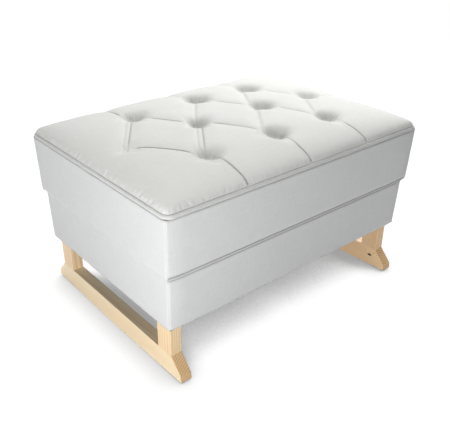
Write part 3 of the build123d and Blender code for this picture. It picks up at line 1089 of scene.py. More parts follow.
    def crown(self, x: np.ndarray, y: np.ndarray) -> np.ndarray:
        """Height of the untufted surface over points in plan.

        Args:
            x: Places along the stool.
            y: Places across it.

        Returns:
            Heights above the floor.
        """
        reach_x, reach_y = self.reach()
        power = self.corner_sharpness
        to_end = np.maximum(reach_x - np.abs(x), 1e-9)
        to_side = np.maximum(reach_y - np.abs(y), 1e-9)
        border = (to_end**-power + to_side**-power) ** (-1 / power)
        roll = np.sqrt(np.maximum(1 - (1 - np.minimum(border / self.roll_width, 1)) ** 2, 0))
        across = np.maximum(1 - (x / reach_x) ** 2, 0)
        along = np.maximum(1 - (y / reach_y) ** 2, 0)
        sag = self.sag * np.exp(-((np.abs(x) / self.sag_length) ** 5) - (np.abs(y) / self.sag_width) ** 4)
        return BOX.cushion_bottom + (self.height - self.dome) * roll + self.dome * across * along - sag

    def round_corners(self, points: np.ndarray) -> np.ndarray:
        """Draw the four square corners in to round ones.

        Args:
            points: Points over a rectangle.

        Returns:
            The same points over a rectangle with round corners.
        """
        reach_x, reach_y = self.reach()
        past_x = np.maximum(np.abs(points[..., 0]) - reach_x + self.corner_radius, 0.0)
        past_y = np.maximum(np.abs(points[..., 1]) - reach_y + self.corner_radius, 0.0)
        share = 1 - np.maximum(past_x, past_y) / np.maximum(np.hypot(past_x, past_y), 1e-9)
        rounded = points.copy()
        rounded[..., 0] -= np.sign(points[..., 0]) * past_x * share
        rounded[..., 1] -= np.sign(points[..., 1]) * past_y * share
        return rounded

    def pit(self, well: Well, x: np.ndarray, y: np.ndarray, off: np.ndarray) -> np.ndarray:
        """How far a well draws the surface down, less on the near side of its lap.

        Args:
            well: The well.
            x: Places along the stool.
            y: Places across it.
            off: Distance from the well's lap, above zero on the far side.

        Returns:
            Depths.
        """
        middle, along, away, half = well.frame()
        rng = np.random.default_rng(self.seed + int(abs(middle[0] + 2 * middle[1]) * 1e4))
        s = (x - middle[0]) * along[0] + (y - middle[1]) * along[1]
        t = (x - middle[0]) * away[0] + (y - middle[1]) * away[1]
        wide = half + self.wall_start
        level = float(self.crown(middle[0], middle[1]))
        back = np.where(t > 0, np.maximum(t - self.wall_start, 0.0) / self.wall_reach, -t / self.lip_reach)
        flat = (np.abs(s / wide) ** 3.0 + back**3.0) ** (self.wall_power / 3.0)
        wall = (level - well.bottom) / (1 + flat)
        front = np.where(t > 0, t / self.shelf_back, -t / self.shelf_front)
        shelf = np.exp(-(np.abs(s / wide) ** 2.6) - front**1.5)
        near = (level - max(self.edge_level, well.bottom)) * shelf
        angle, far = np.arctan2(t + self.gather_centre, s), np.hypot(s, t + self.gather_centre)
        ridges = np.zeros_like(x)
        for k in range(well.gathers):
            place = math.radians(24 + 132 * (k + rng.uniform(0.1, 0.9)) / well.gathers)
            width, length = rng.uniform(0.0013, 0.0024), rng.uniform(0.022, 0.040)
            depth = rng.uniform(0.0005, 0.0016)
            aside = (angle - place) * far
            rise = np.clip((far - self.gather_centre) / self.gather_rise, 0, 1)
            envelope = rise * np.exp(-((far / length) ** 3))
            ridges += depth * envelope * np.exp(-((aside / width) ** 2))
        return np.where(off > 0, wall + ridges, np.minimum(near, wall))

    def crosses(self) -> list[CrossFold]:
        """Lay the folds across the laps.

        Returns:
            Two flaps at the left, and soft valleys.
        """
        return [
            CrossFold((-0.1565, 0.0940), (-0.2366, -0.0190), 0.0030, 0.0016, 0.0085),
            CrossFold((-0.0782, -0.0160), (-0.1580, -0.1270), 0.0034, 0.0016, 0.0095),
            CrossFold((-0.0060, 0.0980), (-0.0760, 0.0060), 0.0016, 0.0034),
            CrossFold((0.1180, 0.1000), (0.0640, 0.0120), 0.0022, 0.0036),
            CrossFold((0.0650, -0.0040), (-0.0130, -0.1060), 0.0024, 0.0040),
            CrossFold((0.1900, -0.0100), (0.1250, -0.1050), 0.0022, 0.0042),
        ]

    def gathers(self, around: np.ndarray, above: np.ndarray, length: float) -> np.ndarray:
        """Small gathers of the cloth along the seam at the cushion's lower edge.

        Args:
            around: Place along the seam.
            above: Distance from the seam over the cushion's border.
            length: Length of the seam.

        Returns:
            Depths.
        """
        rng = np.random.default_rng(self.seed + 5)
        total = np.zeros_like(around)
        place = 0.0
        while place < length:
            depth = rng.uniform(0.0005, 0.0016)
            tall = rng.uniform(0.007, 0.018)
            width = rng.uniform(0.0018, 0.0034)
            lean = rng.uniform(-0.25, 0.25)
            t = around - place - lean * above
            t = (t + length / 2) % length - length / 2
            near = np.abs(t) < self.seam_window
            part = depth * np.exp(-((t[near] / width) ** 2)) * np.exp(-((above[near] / tall) ** 2))
            total[near] += part
            place += rng.uniform(0.006, 0.013)
        return total

    def build(self) -> bpy.types.Object:
        """Build the cushion as one closed form.

        Returns:
            The object.
        """
        reach_x, reach_y = self.reach()
        xs, ys = self.stations(reach_x), self.stations(reach_y)
        y, x = np.meshgrid(ys, xs, indexing="ij")
        rim_x, rim_y = reach_x - np.abs(x), reach_y - np.abs(y)
        rim = np.minimum(rim_x, rim_y)
        pit = np.zeros_like(x)
        groove = np.zeros_like(x)
        x_drawn, y_drawn = x.copy(), y.copy()
        for lap in self.laps():
            off, normal_x, normal_y, past = lap.measure(x, y)
            close = np.exp(-((np.abs(off) / self.pull_width) ** 2))
            close = close * np.exp(-((past / self.pull_fade) ** 2))
            inner = np.clip(rim / self.pull_rim, 0.0, 1.0)
            x_drawn -= self.pull_share * off * close * normal_x * inner
            y_drawn -= self.pull_share * off * close * normal_y * inner
            fade = np.exp(-((past / self.lap_fade) ** 2))
            dip = np.where(off > 0, self.far_dip, self.near_dip)
            dip = dip * np.exp(-((np.abs(off) / self.dip_width) ** 1.5))
            shoulder = self.lap_step * np.maximum(1 - (off / self.lap_width) ** 2, 0.0)
            depth = np.where(off > 0, shoulder, 0.0) + dip
            ease = 1 - self.front_ease * np.clip((self.ease_start - y) / self.ease_run, 0.0, 1.0)
            groove = np.maximum(groove, depth * fade * ease)
            for well in lap.wells:
                pit = (pit**3 + self.pit(well, x, y, off) ** 3) ** (1 / 3)
        folds = groove
        for fold in self.crosses():
            folds = (folds**3 + np.maximum(fold.depths(x, y), 0.0) ** 3) ** (1 / 3)
        drawn = (pit**self.blend + np.maximum(folds, 0.0) ** self.blend) ** (1 / self.blend)
        on_side = rim_y <= rim_x
        around = np.where(on_side, x * np.sign(y + 1e-12), reach_x + reach_y + y * np.sign(x + 1e-12))
        around = around + np.where(np.where(on_side, y < 0, x < 0), 2 * (reach_x + reach_y), 0.0)
        z = self.crown(x_drawn, y_drawn)
        above = (z - BOX.cushion_bottom) + rim
        drawn = drawn + self.gathers(around, above, 4 * (reach_x + reach_y))
        base = self.round_corners(np.stack([x_drawn, y_drawn, z], axis=-1))
        normal = np.cross(np.gradient(base, axis=1), np.gradient(base, axis=0))
        normal /= np.maximum(np.linalg.norm(normal, axis=-1, keepdims=True), 1e-12)
        held = np.clip(rim / self.held_rim, 0.0, 1.0)[..., None]
        lean = np.clip(pit / self.upright_depth, 0.0, 1.0)[..., None]
        direction = normal * (1 - lean) + np.array([0.0, 0.0, 1.0]) * lean
        direction /= np.linalg.norm(direction, axis=-1, keepdims=True)
        top = base - direction * drawn[..., None] * held
        return self.close(top, x, y, z)

    def close(self, top: np.ndarray, x: np.ndarray, y: np.ndarray, z: np.ndarray) -> bpy.types.Object:
        """Close the upper surface with a lower edge, the foam's sides and a flat bottom.

        Args:
            top: Points of the upper surface.
            x: Their places in plan along the stool.
            y: Their places in plan across it.
            z: Heights of the untufted surface.

        Returns:
            The object.
        """
        rows, columns = x.shape
        middle_row, middle_column = rows // 2, columns // 2
        flat_x = np.cumsum(np.hypot(np.diff(x[middle_row]), np.diff(z[middle_row])))
        flat_y = np.cumsum(np.hypot(np.diff(y[:, middle_column]), np.diff(z[:, middle_column])))
        flat_x, flat_y = np.insert(flat_x, 0, 0.0), np.insert(flat_y, 0, 0.0)
        cloth_v, cloth_u = np.meshgrid(flat_y, flat_x, indexing="ij")
        vertices = [top.reshape(-1, 3)]
        cloth = [np.stack([cloth_u, cloth_v], axis=-1).reshape(-1, 2)]
        faces: list[Sequence[int]] = grid_faces(rows, columns).tolist()
        loop = rim_loop(rows, columns)
        edge = top.reshape(-1, 3)[loop]
        reach_x, reach_y = self.reach()
        levels = [
            (reach_x - self.edge_inset, reach_y - self.edge_inset, BOX.cushion_bottom),
            (self.foam_length, self.foam_width, BOX.cushion_bottom),
            (self.foam_length, self.foam_width, self.foam_bottom),
        ]
        previous = loop
        for half_x, half_y, height in levels:
            ring = edge * np.array([half_x / reach_x, half_y / reach_y, 0.0])
            ring[:, 2] = height
            start = sum(len(v) for v in vertices)
            vertices.append(ring)
            cloth.append(cloth[0][loop])
            current = list(range(start, start + len(loop)))
            faces += band_faces(previous, current)
            previous = current
        faces.append(previous[::-1])
        return new_piece("seat_cushion", np.concatenate(vertices), faces, np.concatenate(cloth))


# --------------------------------------------------------------------------------------------------
# The cloth on the walls
# --------------------------------------------------------------------------------------------------


@dataclass
class ClothPanel:
    """A panel of cloth over wadding, between two corner pipings.

    Attributes:
        name: The piece's name.
        heights: Heights of its folds, from the lower edge to the upper one.
        insets: How far each of them stands back from the upper walls' outer face.
        crown: How far the middle swells out.
        edge_round: Radius of the side edges.
        edge_share: Share of the radius that the edge falls back by.
        edge_lines: Distances of the closer grid lines from the side edges.
        edge_space: Gap from them to the even lines.
        slow_wave: Height of the long waves in the face.
        quick_wave: Height of the short ones.
        thickness: Thickness from the flat wall's face.
        least_thickness: Thickness where the face falls back.
        corner_gap: Gap from the side edges to the corners.
        step: Distance between the grid's lines.
        seed: Start of the random waves.
    """

    name: str
    heights: list[float]
    insets: list[float]
    crown: float = 0.0007
    edge_round: float = 0.0035
    edge_share: float = 0.15
    edge_lines: tuple[float, ...] = (0.0, 0.0006, 0.0014, 0.0024, 0.0038)
    edge_space: float = 0.002
    slow_wave: float = 0.00022
    quick_wave: float = 0.00016
    thickness: float = 0.0039
    least_thickness: float = 0.0012
    corner_gap: float = 0.0024
    step: float = 0.0045
    seed: int = 3

    def profile(self) -> tuple[np.ndarray, np.ndarray]:
        """Heights and insets of the panel's outer face from its lower to its upper edge.

        Returns:
            Heights, and insets from the upper walls' outer face.
        """
        heights, insets = [], []
        for low, high, first, last in zip(self.heights, self.heights[1:], self.insets, self.insets[1:]):
            count = max(2, int(round((high - low) / self.step)))
            share = np.arange(count) / count
            heights.append(low + (high - low) * share)
            ease = share * share * (3 - 2 * share) if first != last else share
            insets.append(first + (last - first) * ease)
        heights.append(np.array([self.heights[-1]]))
        insets.append(np.array([self.insets[-1]]))
        return np.concatenate(heights), np.concatenate(insets)

    def build(self, side: Side | End) -> bpy.types.Object:
        """Build the panel on one wall.

        Args:
            side: The wall that it covers.

        Returns:
            The object.
        """
        heights, insets = self.profile()
        sign = side.value
        on_long_side = isinstance(side, Side)
        reach = BOX.half_length if on_long_side else BOX.half_width
        depth = BOX.half_width if on_long_side else BOX.half_length
        half = reach(heights[-1], self.corner_gap)
        count = int(round(2 * half / self.step))
        edge = np.array(self.edge_lines)
        share = np.linspace(-1.0, 1.0, count)
        inner = (half - edge[-1] - self.edge_space) * share
        places = np.concatenate([-half + edge, inner, (half - edge)[::-1]])
        rng = np.random.default_rng(self.seed + int(sign) + 10 * on_long_side)
        phases = rng.uniform(0, 2 * math.pi, 8)
        outer, behind, cloth = [], [], []
        run = np.insert(np.cumsum(np.hypot(np.diff(heights), np.diff(insets))), 0, 0.0)
        for height, inset, up in zip(heights, insets, run):
            width = reach(height, inset + self.corner_gap)
            s = places * width / half
            from_edge = np.maximum(width - np.abs(s), 0.0)
            in_round = np.maximum(self.edge_round - from_edge, 0.0)
            rounding = self.edge_round - np.sqrt(np.maximum(self.edge_round**2 - in_round**2, 0.0))
            lift = (height - heights[0]) / (heights[-1] - heights[0])
            middle = 4 * lift * (1 - lift)
            wave = self.slow_wave * np.sin(s * 31 + phases[0] + 9 * lift) * np.sin(lift * 7 + phases[1])
            turn = np.sin(lift * 11 + phases[3] + s * 12)
            wave += self.quick_wave * np.sin(s * 67 + phases[2] - 6 * lift) * turn
            out = self.crown * middle * (1 - (s / width) ** 8) + wave * np.minimum(middle * 3, 1)
            fall = BOX.corner_fall(from_edge + self.corner_gap) if on_long_side else 0.0
            face = depth(height, inset) - fall - rounding * self.edge_share + out
            back = np.minimum(depth(height, inset + self.thickness), face - self.least_thickness)
            level = np.full_like(s, height)
            for points, offset in ((outer, face), (behind, back)):
                plan = [s, sign * offset] if on_long_side else [sign * offset, s]
                points.append(np.stack([*plan, level], axis=-1))
            cloth.append(np.stack([s, np.full_like(s, up)], axis=-1))
        rows, columns = len(outer), len(places)
        total = rows * columns
        vertices = np.concatenate(outer + behind)
        cloth_all = np.concatenate(cloth + cloth)
        rim = rim_loop(rows, columns)
        joined = band_faces(rim, [number + total for number in rim])
        back_faces = grid_faces(rows, columns, total)[:, ::-1]
        faces = np.concatenate([grid_faces(rows, columns), back_faces, np.array(joined)])
        flipped = (sign > 0) == on_long_side
        if flipped:
            faces = faces[:, ::-1]
        return new_piece(self.name, vertices, faces, cloth_all)


@dataclass(frozen=True)
class WallCloth:
    """Cut of the cloth on the walls: a band and a lower panel on each long side, a panel on each end.

    Attributes:
        band_hem: Height of the band's lower edge above the step.
        hem_drop: Depth of the lower panel's fold under the step.
        tuck_turn: Height over which the cloth turns in there.
        tuck_rise: Height of the tuck's upper edge above the step.
        tuck_in: How far the tuck stands back from the lower panel.
    """

    band_hem: float = 0.0012
    hem_drop: float = 0.0092
    tuck_turn: float = 0.0005
    tuck_rise: float = 0.0004
    tuck_in: float = 0.0036

    def band(self, side: Side) -> ClothPanel:
        """Band of a long side, over the step."""
        heights = [BOX.step + self.band_hem, BOX.wall_top]
        return ClothPanel(f"{side.name}_upper_cloth", heights, [0.0, 0.0])

    def lower(self, side: Side) -> ClothPanel:
        """Panel under the step of a long side.

        Args:
            side: The long side.

        Returns:
            The panel, whose upper edge is tucked in behind the step's piping.
        """
        hem, tuck = BOX.step - self.hem_drop, BOX.step_in + self.tuck_in
        heights = [BOX.bottom, hem, hem + self.tuck_turn, BOX.step + self.tuck_rise]
        return ClothPanel(f"{side.name}_lower_cloth", heights, [BOX.step_in, BOX.step_in, tuck, tuck])

    def end(self, end: End) -> ClothPanel:
        """Panel of an end, from the bottom to the seat.

        Args:
            end: The end.

        Returns:
            The panel, which leaves room for the long sides' corners that fall back.
        """
        heights = [BOX.bottom, BOX.step - BOX.slope, BOX.step, BOX.wall_top]
        panel = ClothPanel(f"{end.name}_end_cloth", heights, [BOX.step_in, BOX.step_in, 0.0, 0.0])
        panel.corner_gap += BOX.corner_dip
        return panel


# --------------------------------------------------------------------------------------------------
# Pipings, by geometry nodes
# --------------------------------------------------------------------------------------------------


class PipingTree:
    """Geometry nodes that sweep a round cord of cloth along a line.

    SIDES is the number of the cord's sides, and CELLS the uneven places per metre.
    """

    SIDES = 14
    CELLS = 42.0

    def __init__(self) -> None:
        """Build the tree."""
        self.group = bpy.data.node_groups.new("piping", "GeometryNodeTree")
        interface = self.group.interface
        interface.new_socket("Geometry", in_out="INPUT", socket_type="NodeSocketGeometry")
        self.radius = interface.new_socket("Radius", in_out="INPUT", socket_type="NodeSocketFloat")
        self.spacing = interface.new_socket("Spacing", in_out="INPUT", socket_type="NodeSocketFloat")
        self.unevenness = interface.new_socket("Unevenness", in_out="INPUT", socket_type="NodeSocketFloat")
        self.cloth = interface.new_socket("Cloth", in_out="INPUT", socket_type="NodeSocketMaterial")
        interface.new_socket("Geometry", in_out="OUTPUT", socket_type="NodeSocketGeometry")
        self._fill()

    def _keep(self, tree: Tree, curve: Wire, name: str) -> tuple[Wire, Wire]:
        """Keep the length along a curve on its points, from before the sweep.

        Args:
            tree: The tree.
            curve: The curve.
            name: Name of what is kept.

        Returns:
            The curve, and the kept length.
        """
        along = tree.node("GeometryNodeSplineParameter", {}, {}, "Length")
        keep = tree.add("GeometryNodeCaptureAttribute", {}, {"Geometry": curve})
        keep.capture_items.new("FLOAT", name)
        self.group.links.new(along.socket, keep.inputs[1])
        return Wire(tree, keep.outputs["Geometry"]), Wire(tree, keep.outputs[1])

    def _fill(self) -> None:
        """Add the nodes: resample, sweep, number the cloth, roughen, realize and set the material."""
        tree = Tree(self.group)
        inputs = tree.add("NodeGroupInput", {}, {})
        given = {socket.name: Wire(tree, socket) for socket in inputs.outputs}
        lengths = {"Curve": given["Geometry"], "Length": given["Spacing"]}
        line = tree.node("GeometryNodeResampleCurve", {"mode": "LENGTH"}, lengths)
        line, along = self._keep(tree, line, "Along")
        circle = {"Resolution": self.SIDES, "Radius": given["Radius"]}
        profile = tree.node("GeometryNodeCurvePrimitiveCircle", {}, circle)
        profile, around = self._keep(tree, profile, "Round")
        ends = {"Curve": line, "Profile Curve": profile, "Fill Caps": True}
        cord = tree.node("GeometryNodeCurveToMesh", {}, ends)
        laid = tree.node("ShaderNodeCombineXYZ", {}, {0: along, 1: around})
        corner = {"data_type": "FLOAT2", "domain": "CORNER"}
        store = tree.add("GeometryNodeStoreNamedAttribute", corner, {"Geometry": cord, "Name": "cloth"})
        value = next(socket for socket in store.inputs if socket.name == "Value" and socket.enabled)
        self.group.links.new(laid.socket, value)
        noise = tree.node("ShaderNodeTexNoise", {}, {"Scale": self.CELLS, "Detail": 2.0}, "Color")
        less_middle = {0: noise, 1: (0.5, 0.5, 0.5)}
        centred = tree.node("ShaderNodeVectorMath", {"operation": "SUBTRACT"}, less_middle)
        shift = {0: centred, "Scale": given["Unevenness"]}
        uneven = tree.node("ShaderNodeVectorMath", {"operation": "SCALE"}, shift)
        moved = {"Geometry": Wire(tree, store.outputs[0]), "Offset": uneven}
        cord = tree.node("GeometryNodeSetPosition", {}, moved)
        cord = tree.node("GeometryNodeSetShadeSmooth", {}, {0: cord})
        cord = tree.node("GeometryNodeRealizeInstances", {}, {0: cord})
        painted = {"Geometry": cord, "Material": given["Cloth"]}
        cord = tree.node("GeometryNodeSetMaterial", {}, painted)
        tree.add("NodeGroupOutput", {}, {0: cord})

    def sweep(self, name: str, line: "PipingLine", cloth: bpy.types.Material) -> bpy.types.Object:
        """Sweep a piping along a line and turn the result into a plain mesh.

        Args:
            name: The piece's name.
            line: The line and the cord's sizes.
            cloth: Material of the cord.

        Returns:
            The object.
        """
        curve = bpy.data.curves.new(name + "_line", "CURVE")
        curve.dimensions = "3D"
        spline = curve.splines.new("POLY")
        spline.points.add(len(line.points) - 1)
        for point, place in zip(spline.points, line.points):
            point.co = (*place, 1.0)
        spline.use_cyclic_u = line.closed
        holder = bpy.data.objects.new(name + "_line", curve)
        bpy.context.scene.collection.objects.link(holder)
        modifier = holder.modifiers.new("piping", "NODES")
        modifier.node_group = self.group
        modifier[self.radius.identifier] = line.radius
        modifier[self.spacing.identifier] = line.spacing
        modifier[self.unevenness.identifier] = line.unevenness
        modifier[self.cloth.identifier] = cloth
        bpy.context.view_layer.update()
        graph = bpy.context.evaluated_depsgraph_get()
        mesh = bpy.data.meshes.new_from_object(holder.evaluated_get(graph))
        holder.modifiers.remove(modifier)
        bpy.data.objects.remove(holder)
        bpy.data.curves.remove(curve)
        mesh.name = name
        piece = bpy.data.objects.new(name, mesh)
        bpy.context.scene.collection.objects.link(piece)
        return piece


@dataclass
class PipingLine:
    """Centre line of one piping, its radius, the gap between its rings and how far its surface strays."""

    points: list[Point]
    radius: float
    closed: bool = False
    spacing: float = 0.003
    unevenness: float = 0.0006


@dataclass
class Pipings:
    """All the pipings: round the seat, down the corners and under the step.

    Attributes:
        seat_radius: Radius of the cord round the seat.
        seat_stand: How far it stands out from the walls.
        seat_corner: Radius of its corners.
        step_radius: Radius of the cords under the step.
        step_drop: Depth of their middle under the step.
        step_stand: How far they stand out from the lower walls.
        step_end: Distance of their ends from the corners.
        corner_radius: Radius of the cords down the corners.
        corner_stand: How far they stand out from the corners.
        thin_unevenness: How far the surface of the thin cords strays.
        bend_steps: Number of steps round a corner.
    """

    seat_radius: float = 0.0045
    seat_stand: float = 0.0005
    seat_corner: float = 0.0100
    step_radius: float = 0.0029
    step_drop: float = 0.0036
    step_stand: float = 0.0046
    step_end: float = 0.0020
    corner_radius: float = 0.0020
    corner_stand: float = -0.0008
    thin_unevenness: float = 0.0003
    bend_steps: int = 8

    def seat_line(self) -> PipingLine:
        """Rounded rectangle round the seat.

        Returns:
            The line.
        """
        inset = self.seat_radius - self.seat_stand
        half_x, half_y = BOX.half_length(BOX.seat_line, inset), BOX.half_width(BOX.seat_line, inset)
        r = self.seat_corner
        points: list[Point] = []
        for sx, sy, start in ((1, -1, -90), (1, 1, 0), (-1, 1, 90), (-1, -1, 180)):
            for i in range(self.bend_steps + 1):
                angle = math.radians(start + 90 * i / self.bend_steps)
                x = sx * (half_x - r) + r * math.cos(angle)
                y = sy * (half_y - r) + r * math.sin(angle)
                points.append((x, y, BOX.seat_line))
        return PipingLine(points, self.seat_radius, closed=True)

    def corner_line(self, side: Side, end: End) -> PipingLine:
        """Line down one corner, over the step.

        Args:
            side: Long side at the corner.
            end: End at the corner.

        Returns:
            The line.
        """
        stations = [(BOX.bottom, BOX.step_in), (BOX.step - BOX.slope, BOX.step_in)]
        stations += [(BOX.step, 0.0), (BOX.wall_top, 0.0)]
        points: list[Point] = []
        for height, inset in stations:
            centre = inset + self.corner_radius - self.corner_stand
            x, y = BOX.half_length(height, centre), BOX.half_width(height, centre + BOX.corner_dip)
            points.append((end.value * x, side.value * y, height))
        return PipingLine(points, self.corner_radius, unevenness=self.thin_unevenness)

    def step_line(self, side: Side) -> PipingLine:
        """Line along one long side, under the overhanging upper wall.

        Args:
            side: The long side.

        Returns:
            The line.
        """
        height = BOX.step - self.step_drop
        reach = BOX.half_length(height, self.step_end)
        face = BOX.half_width(height, BOX.step_in + self.step_radius - self.step_stand)
        from_end = np.linspace(0.0, BOX.corner_run, self.bend_steps + 1)
        fall = BOX.corner_fall(from_end)
        steps = zip(from_end, fall)
        near = [(-reach + float(run), side.value * (face - float(dip)), height) for run, dip in steps]
        far = [(-x, y, z) for x, y, z in reversed(near)]
        return PipingLine(near + far, self.step_radius, unevenness=self.thin_unevenness)


# --------------------------------------------------------------------------------------------------
# The bottom cloth
# --------------------------------------------------------------------------------------------------


@dataclass
class BottomCloth:
    """Thin bonded cloth under the box, cut out round the four posts.

    Attributes:
        inset: How far its edge stands back from the lower walls.
        thickness: Thickness of the cloth.
        post_x: Place of the right posts along the stool.
        post_y: Place of the back posts across it.
        post_thickness: Size of a post along the stool.
        post_width: Size of a post across it.
        clearance: Gap round a post.
        step: Distance between the grid's lines.
        least_step: Least distance from such a line to a cut-out.
    """

    inset: float = 0.002
    thickness: float = 0.0008
    post_x: float = 0.2707
    post_y: float = 0.16965
    post_thickness: float = 0.0226
    post_width: float = 0.0379
    clearance: float = 0.0004
    step: float = 0.012
    least_step: float = 0.004

    def lines(self, reach: float, centre: float, size: float) -> np.ndarray:
        """Grid lines across the cloth, with lines at the edges of the cut-outs.

        Args:
            reach: Half of the cloth's extent.
            centre: Middle of a cut-out.
            size: Size of a cut-out.

        Returns:
            Places from -reach to reach.
        """
        low, high = centre - size / 2 - self.clearance, centre + size / 2 + self.clearance
        plain = np.arange(0.0, low - self.least_step, self.step)
        half = np.concatenate([plain, [low, (low + high) / 2, high, reach]])
        return np.concatenate([-half[:0:-1], half])

    def build(self) -> bpy.types.Object:
        """Build the cloth as a thin closed sheet.

        Returns:
            The object.
        """
        inset = BOX.step_in + self.inset
        reach_x, reach_y = BOX.half_length(BOX.bottom, inset), BOX.half_width(BOX.bottom, inset)
        xs = self.lines(reach_x, self.post_x, self.post_thickness)
        ys = self.lines(reach_y, self.post_y, self.post_width)
        y, x = np.meshgrid(ys, xs, indexing="ij")
        upper = np.stack([x, y, np.full_like(x, BOX.bottom)], axis=-1)
        lower = upper.copy()
        lower[..., 2] -= self.thickness
        rows, columns = x.shape
        total = rows * columns
        mid_x, mid_y = (xs[1:] + xs[:-1]) / 2, (ys[1:] + ys[:-1]) / 2
        cell_y, cell_x = np.meshgrid(mid_y, mid_x, indexing="ij")
        in_x = np.abs(np.abs(cell_x) - self.post_x) < self.post_thickness / 2
        in_y = np.abs(np.abs(cell_y) - self.post_y) < self.post_width / 2
        kept = ~(in_x & in_y)
        quads = grid_faces(rows, columns).reshape(rows - 1, columns - 1, 4)
        faces: list[Sequence[int]] = quads[kept].tolist()
        faces += (quads[kept][:, ::-1] + total).tolist()
        seen: dict[tuple[int, int], int] = {}
        for a, b, c, d in quads[kept].tolist():
            for edge in ((a, b), (b, c), (c, d), (d, a)):
                seen[edge] = seen.get(edge, 0) + 1
        for first, second in seen:
            if (second, first) not in seen:
                faces.append([second, first, first + total, second + total])
        vertices = np.concatenate([upper.reshape(-1, 3), lower.reshape(-1, 3)])
        return new_piece("bottom_cloth", vertices, faces, vertices[:, :2])


# --------------------------------------------------------------------------------------------------
# The stool
# --------------------------------------------------------------------------------------------------


@dataclass(frozen=True)
class RockerWood:
    """Light timber of the runners and posts, each cut from its own length, with painted light and shade in
    its tones: the left end is paler as painted light, the right end darker and warmer as painted shade.

    The hearts are those of the right runner and the back right post, and the others mirror them. The tones
    of each end are those of the early wood, the late wood and the streaks.
    """

    runner_heart: Point = (0.245, 0.0, -0.052)
    # Runner tones: the left end's are lighter as painted light and the right end's darker and warmer as
    # painted shade, over the grain's own colours.
    runner_left: Tones = ((0.95, 0.81, 0.57), (0.82, 0.58, 0.32), (0.88, 0.66, 0.40))
    runner_right: Tones = ((0.94, 0.70, 0.43), (0.70, 0.40, 0.17), (0.80, 0.50, 0.25))
    right_knot: Point = (0.2594, -0.1758, 0.0262)
    post_heart: Point = (0.243, 0.215, 0.0)
    # Post tones: the left end's are lighter as painted light and the right end's darker and warmer as
    # painted shade, over the grain's own colours.
    post_left: Tones = ((0.91, 0.71, 0.46), (0.72, 0.46, 0.22), (0.80, 0.55, 0.30))
    post_right: Tones = ((0.90, 0.66, 0.40), (0.66, 0.37, 0.16), (0.76, 0.48, 0.24))
    post_ring_pitch: float = 0.0042

    def runner(self, end: End) -> Timber:
        """Timber of the runner at one end.

        Args:
            end: The end.

        Returns:
            The finish, with the knot in the right runner's foot.
        """
        x, y, z = self.runner_heart
        tones = self.runner_left if end is End.left else self.runner_right
        knot = self.right_knot if end is End.right else None
        return Timber(f"{end.name}_runner", *tones, (end.value * x, y, z), Grain.ALONG, knot=knot)

    def post(self, side: Side, end: End) -> Timber:
        """Timber of one post.

        Args:
            side: The long side that it stands at.
            end: The end that it stands at.

        Returns:
            The finish.
        """
        x, y, z = self.post_heart
        tones = self.post_left if end is End.left else self.post_right
        heart = (end.value * x, side.value * y, z)
        return Timber(f"{side.name}_{end.name}_post", *tones, heart, Grain.UPRIGHT, self.post_ring_pitch)


class Footstool:
    """The whole stool: its soft pieces and the finishes of its solids.

    BARE_SLOTS are the slots of the solids inside the box that are painted as they are.
    """

    BARE_SLOTS = ("dowel_timber", "frame_timber", "board", "steel", "twine", "toggle_plastic")

    def __init__(self, frame: dict[str, Any]) -> None:
        """Keep the loaded model and make the finishes.
        """
        self.nodes: dict[str, bpy.types.Object] = frame["nodes"]
        self.finishes = Finishes()
        self.slots = {row["node"]: row["material_slot"] for row in frame["record"]["subparts"]}
        self.made: dict[str, bpy.types.Material] = {}

    def finish_of(self, slot: str) -> bpy.types.Material:
        """Material of a slot, made once.

        Args:
            slot: Name of the slot.

        Returns:
            The material.
        """
        if slot not in self.made:
            self.made[slot] = getattr(self.finishes, slot).material()
        return self.made[slot]

    def paint(self, node: str, material: bpy.types.Material) -> None:
        """Give a solid of the model its material.

        Args:
            node: Name of the solid.
            material: Its material.
        """
        piece = self.nodes[node]
        if not piece.material_slots:
            piece.data.materials.append(material)
        for slot in piece.material_slots:
            slot.material = material
        LOG.info("%s: %s", node, material.name)

    def rockers(self) -> None:
        """Dress the runners and the posts in light timber."""
        wood = RockerWood()
        for end in End:
            self.paint(f"{end.name}_runner", wood.runner(end).material())
            for side in Side:
                self.paint(f"{side.name}_{end.name}_post", wood.post(side, end).material())

    def inner_frame(self) -> None:
        """Dress the pieces inside the box and the fastenings."""
        for node, slot in self.slots.items():
            if slot in self.BARE_SLOTS:
                self.paint(node, self.finish_of(slot))

    def cushion(self) -> None:
        """Build the seat cushion."""
        piece = TuftedCushion().build()
        dress(piece, self.finish_of("cushion_cloth"), "cushion_cloth", "tufted_cover", "foam_pad")

    def wall(self, panel: ClothPanel, side: Side | End, node: str) -> None:
        """Build one panel of the walls and dress it.

        Args:
            panel: The panel's cut.
            side: The wall that it covers.
            node: Solid of the model that it stands for.
        """
        piece = dress(panel.build(side), self.finish_of("wall_cloth"), "wall_cloth", node)

    def walls(self) -> None:
        """Build the cloth of the walls."""
        cloth = WallCloth()
        for side in Side:
            self.wall(cloth.band(side), side, f"{side.name}_band")
            self.wall(cloth.lower(side), side, f"{side.name}_lower_cover")
        for end in End:
            self.wall(cloth.end(end), end, f"{end.name}_end_cover")

    def pipings(self) -> None:
        """Build the pipings."""
        tree = PipingTree()
        cloth = self.finish_of("piping_cloth")
        pipings = Pipings()
        piece = tree.sweep("seat_piping", pipings.seat_line(), cloth)
        dress(piece, cloth, "piping_cloth", "top_piping")
        for side in Side:
            piece = tree.sweep(f"{side.name}_welt", pipings.step_line(side), cloth)
            dress(piece, cloth, "piping_cloth", f"{side.name}_step_piping")
            for end in End:
                piece = tree.sweep(f"{side.name}_{end.name}_welt", pipings.corner_line(side, end), cloth)
                node = f"{side.name}_{end.name}_corner_piping"
                dress(piece, cloth, "piping_cloth", node)

    def underside(self) -> None:
        """Build the bottom cloth."""
        piece = BottomCloth().build()
        dress(piece, self.finish_of("bottom_cloth"), "bottom_cloth", "dust_cover")


# --------------------------------------------------------------------------------------------------
# Stage, lights and camera
# --------------------------------------------------------------------------------------------------


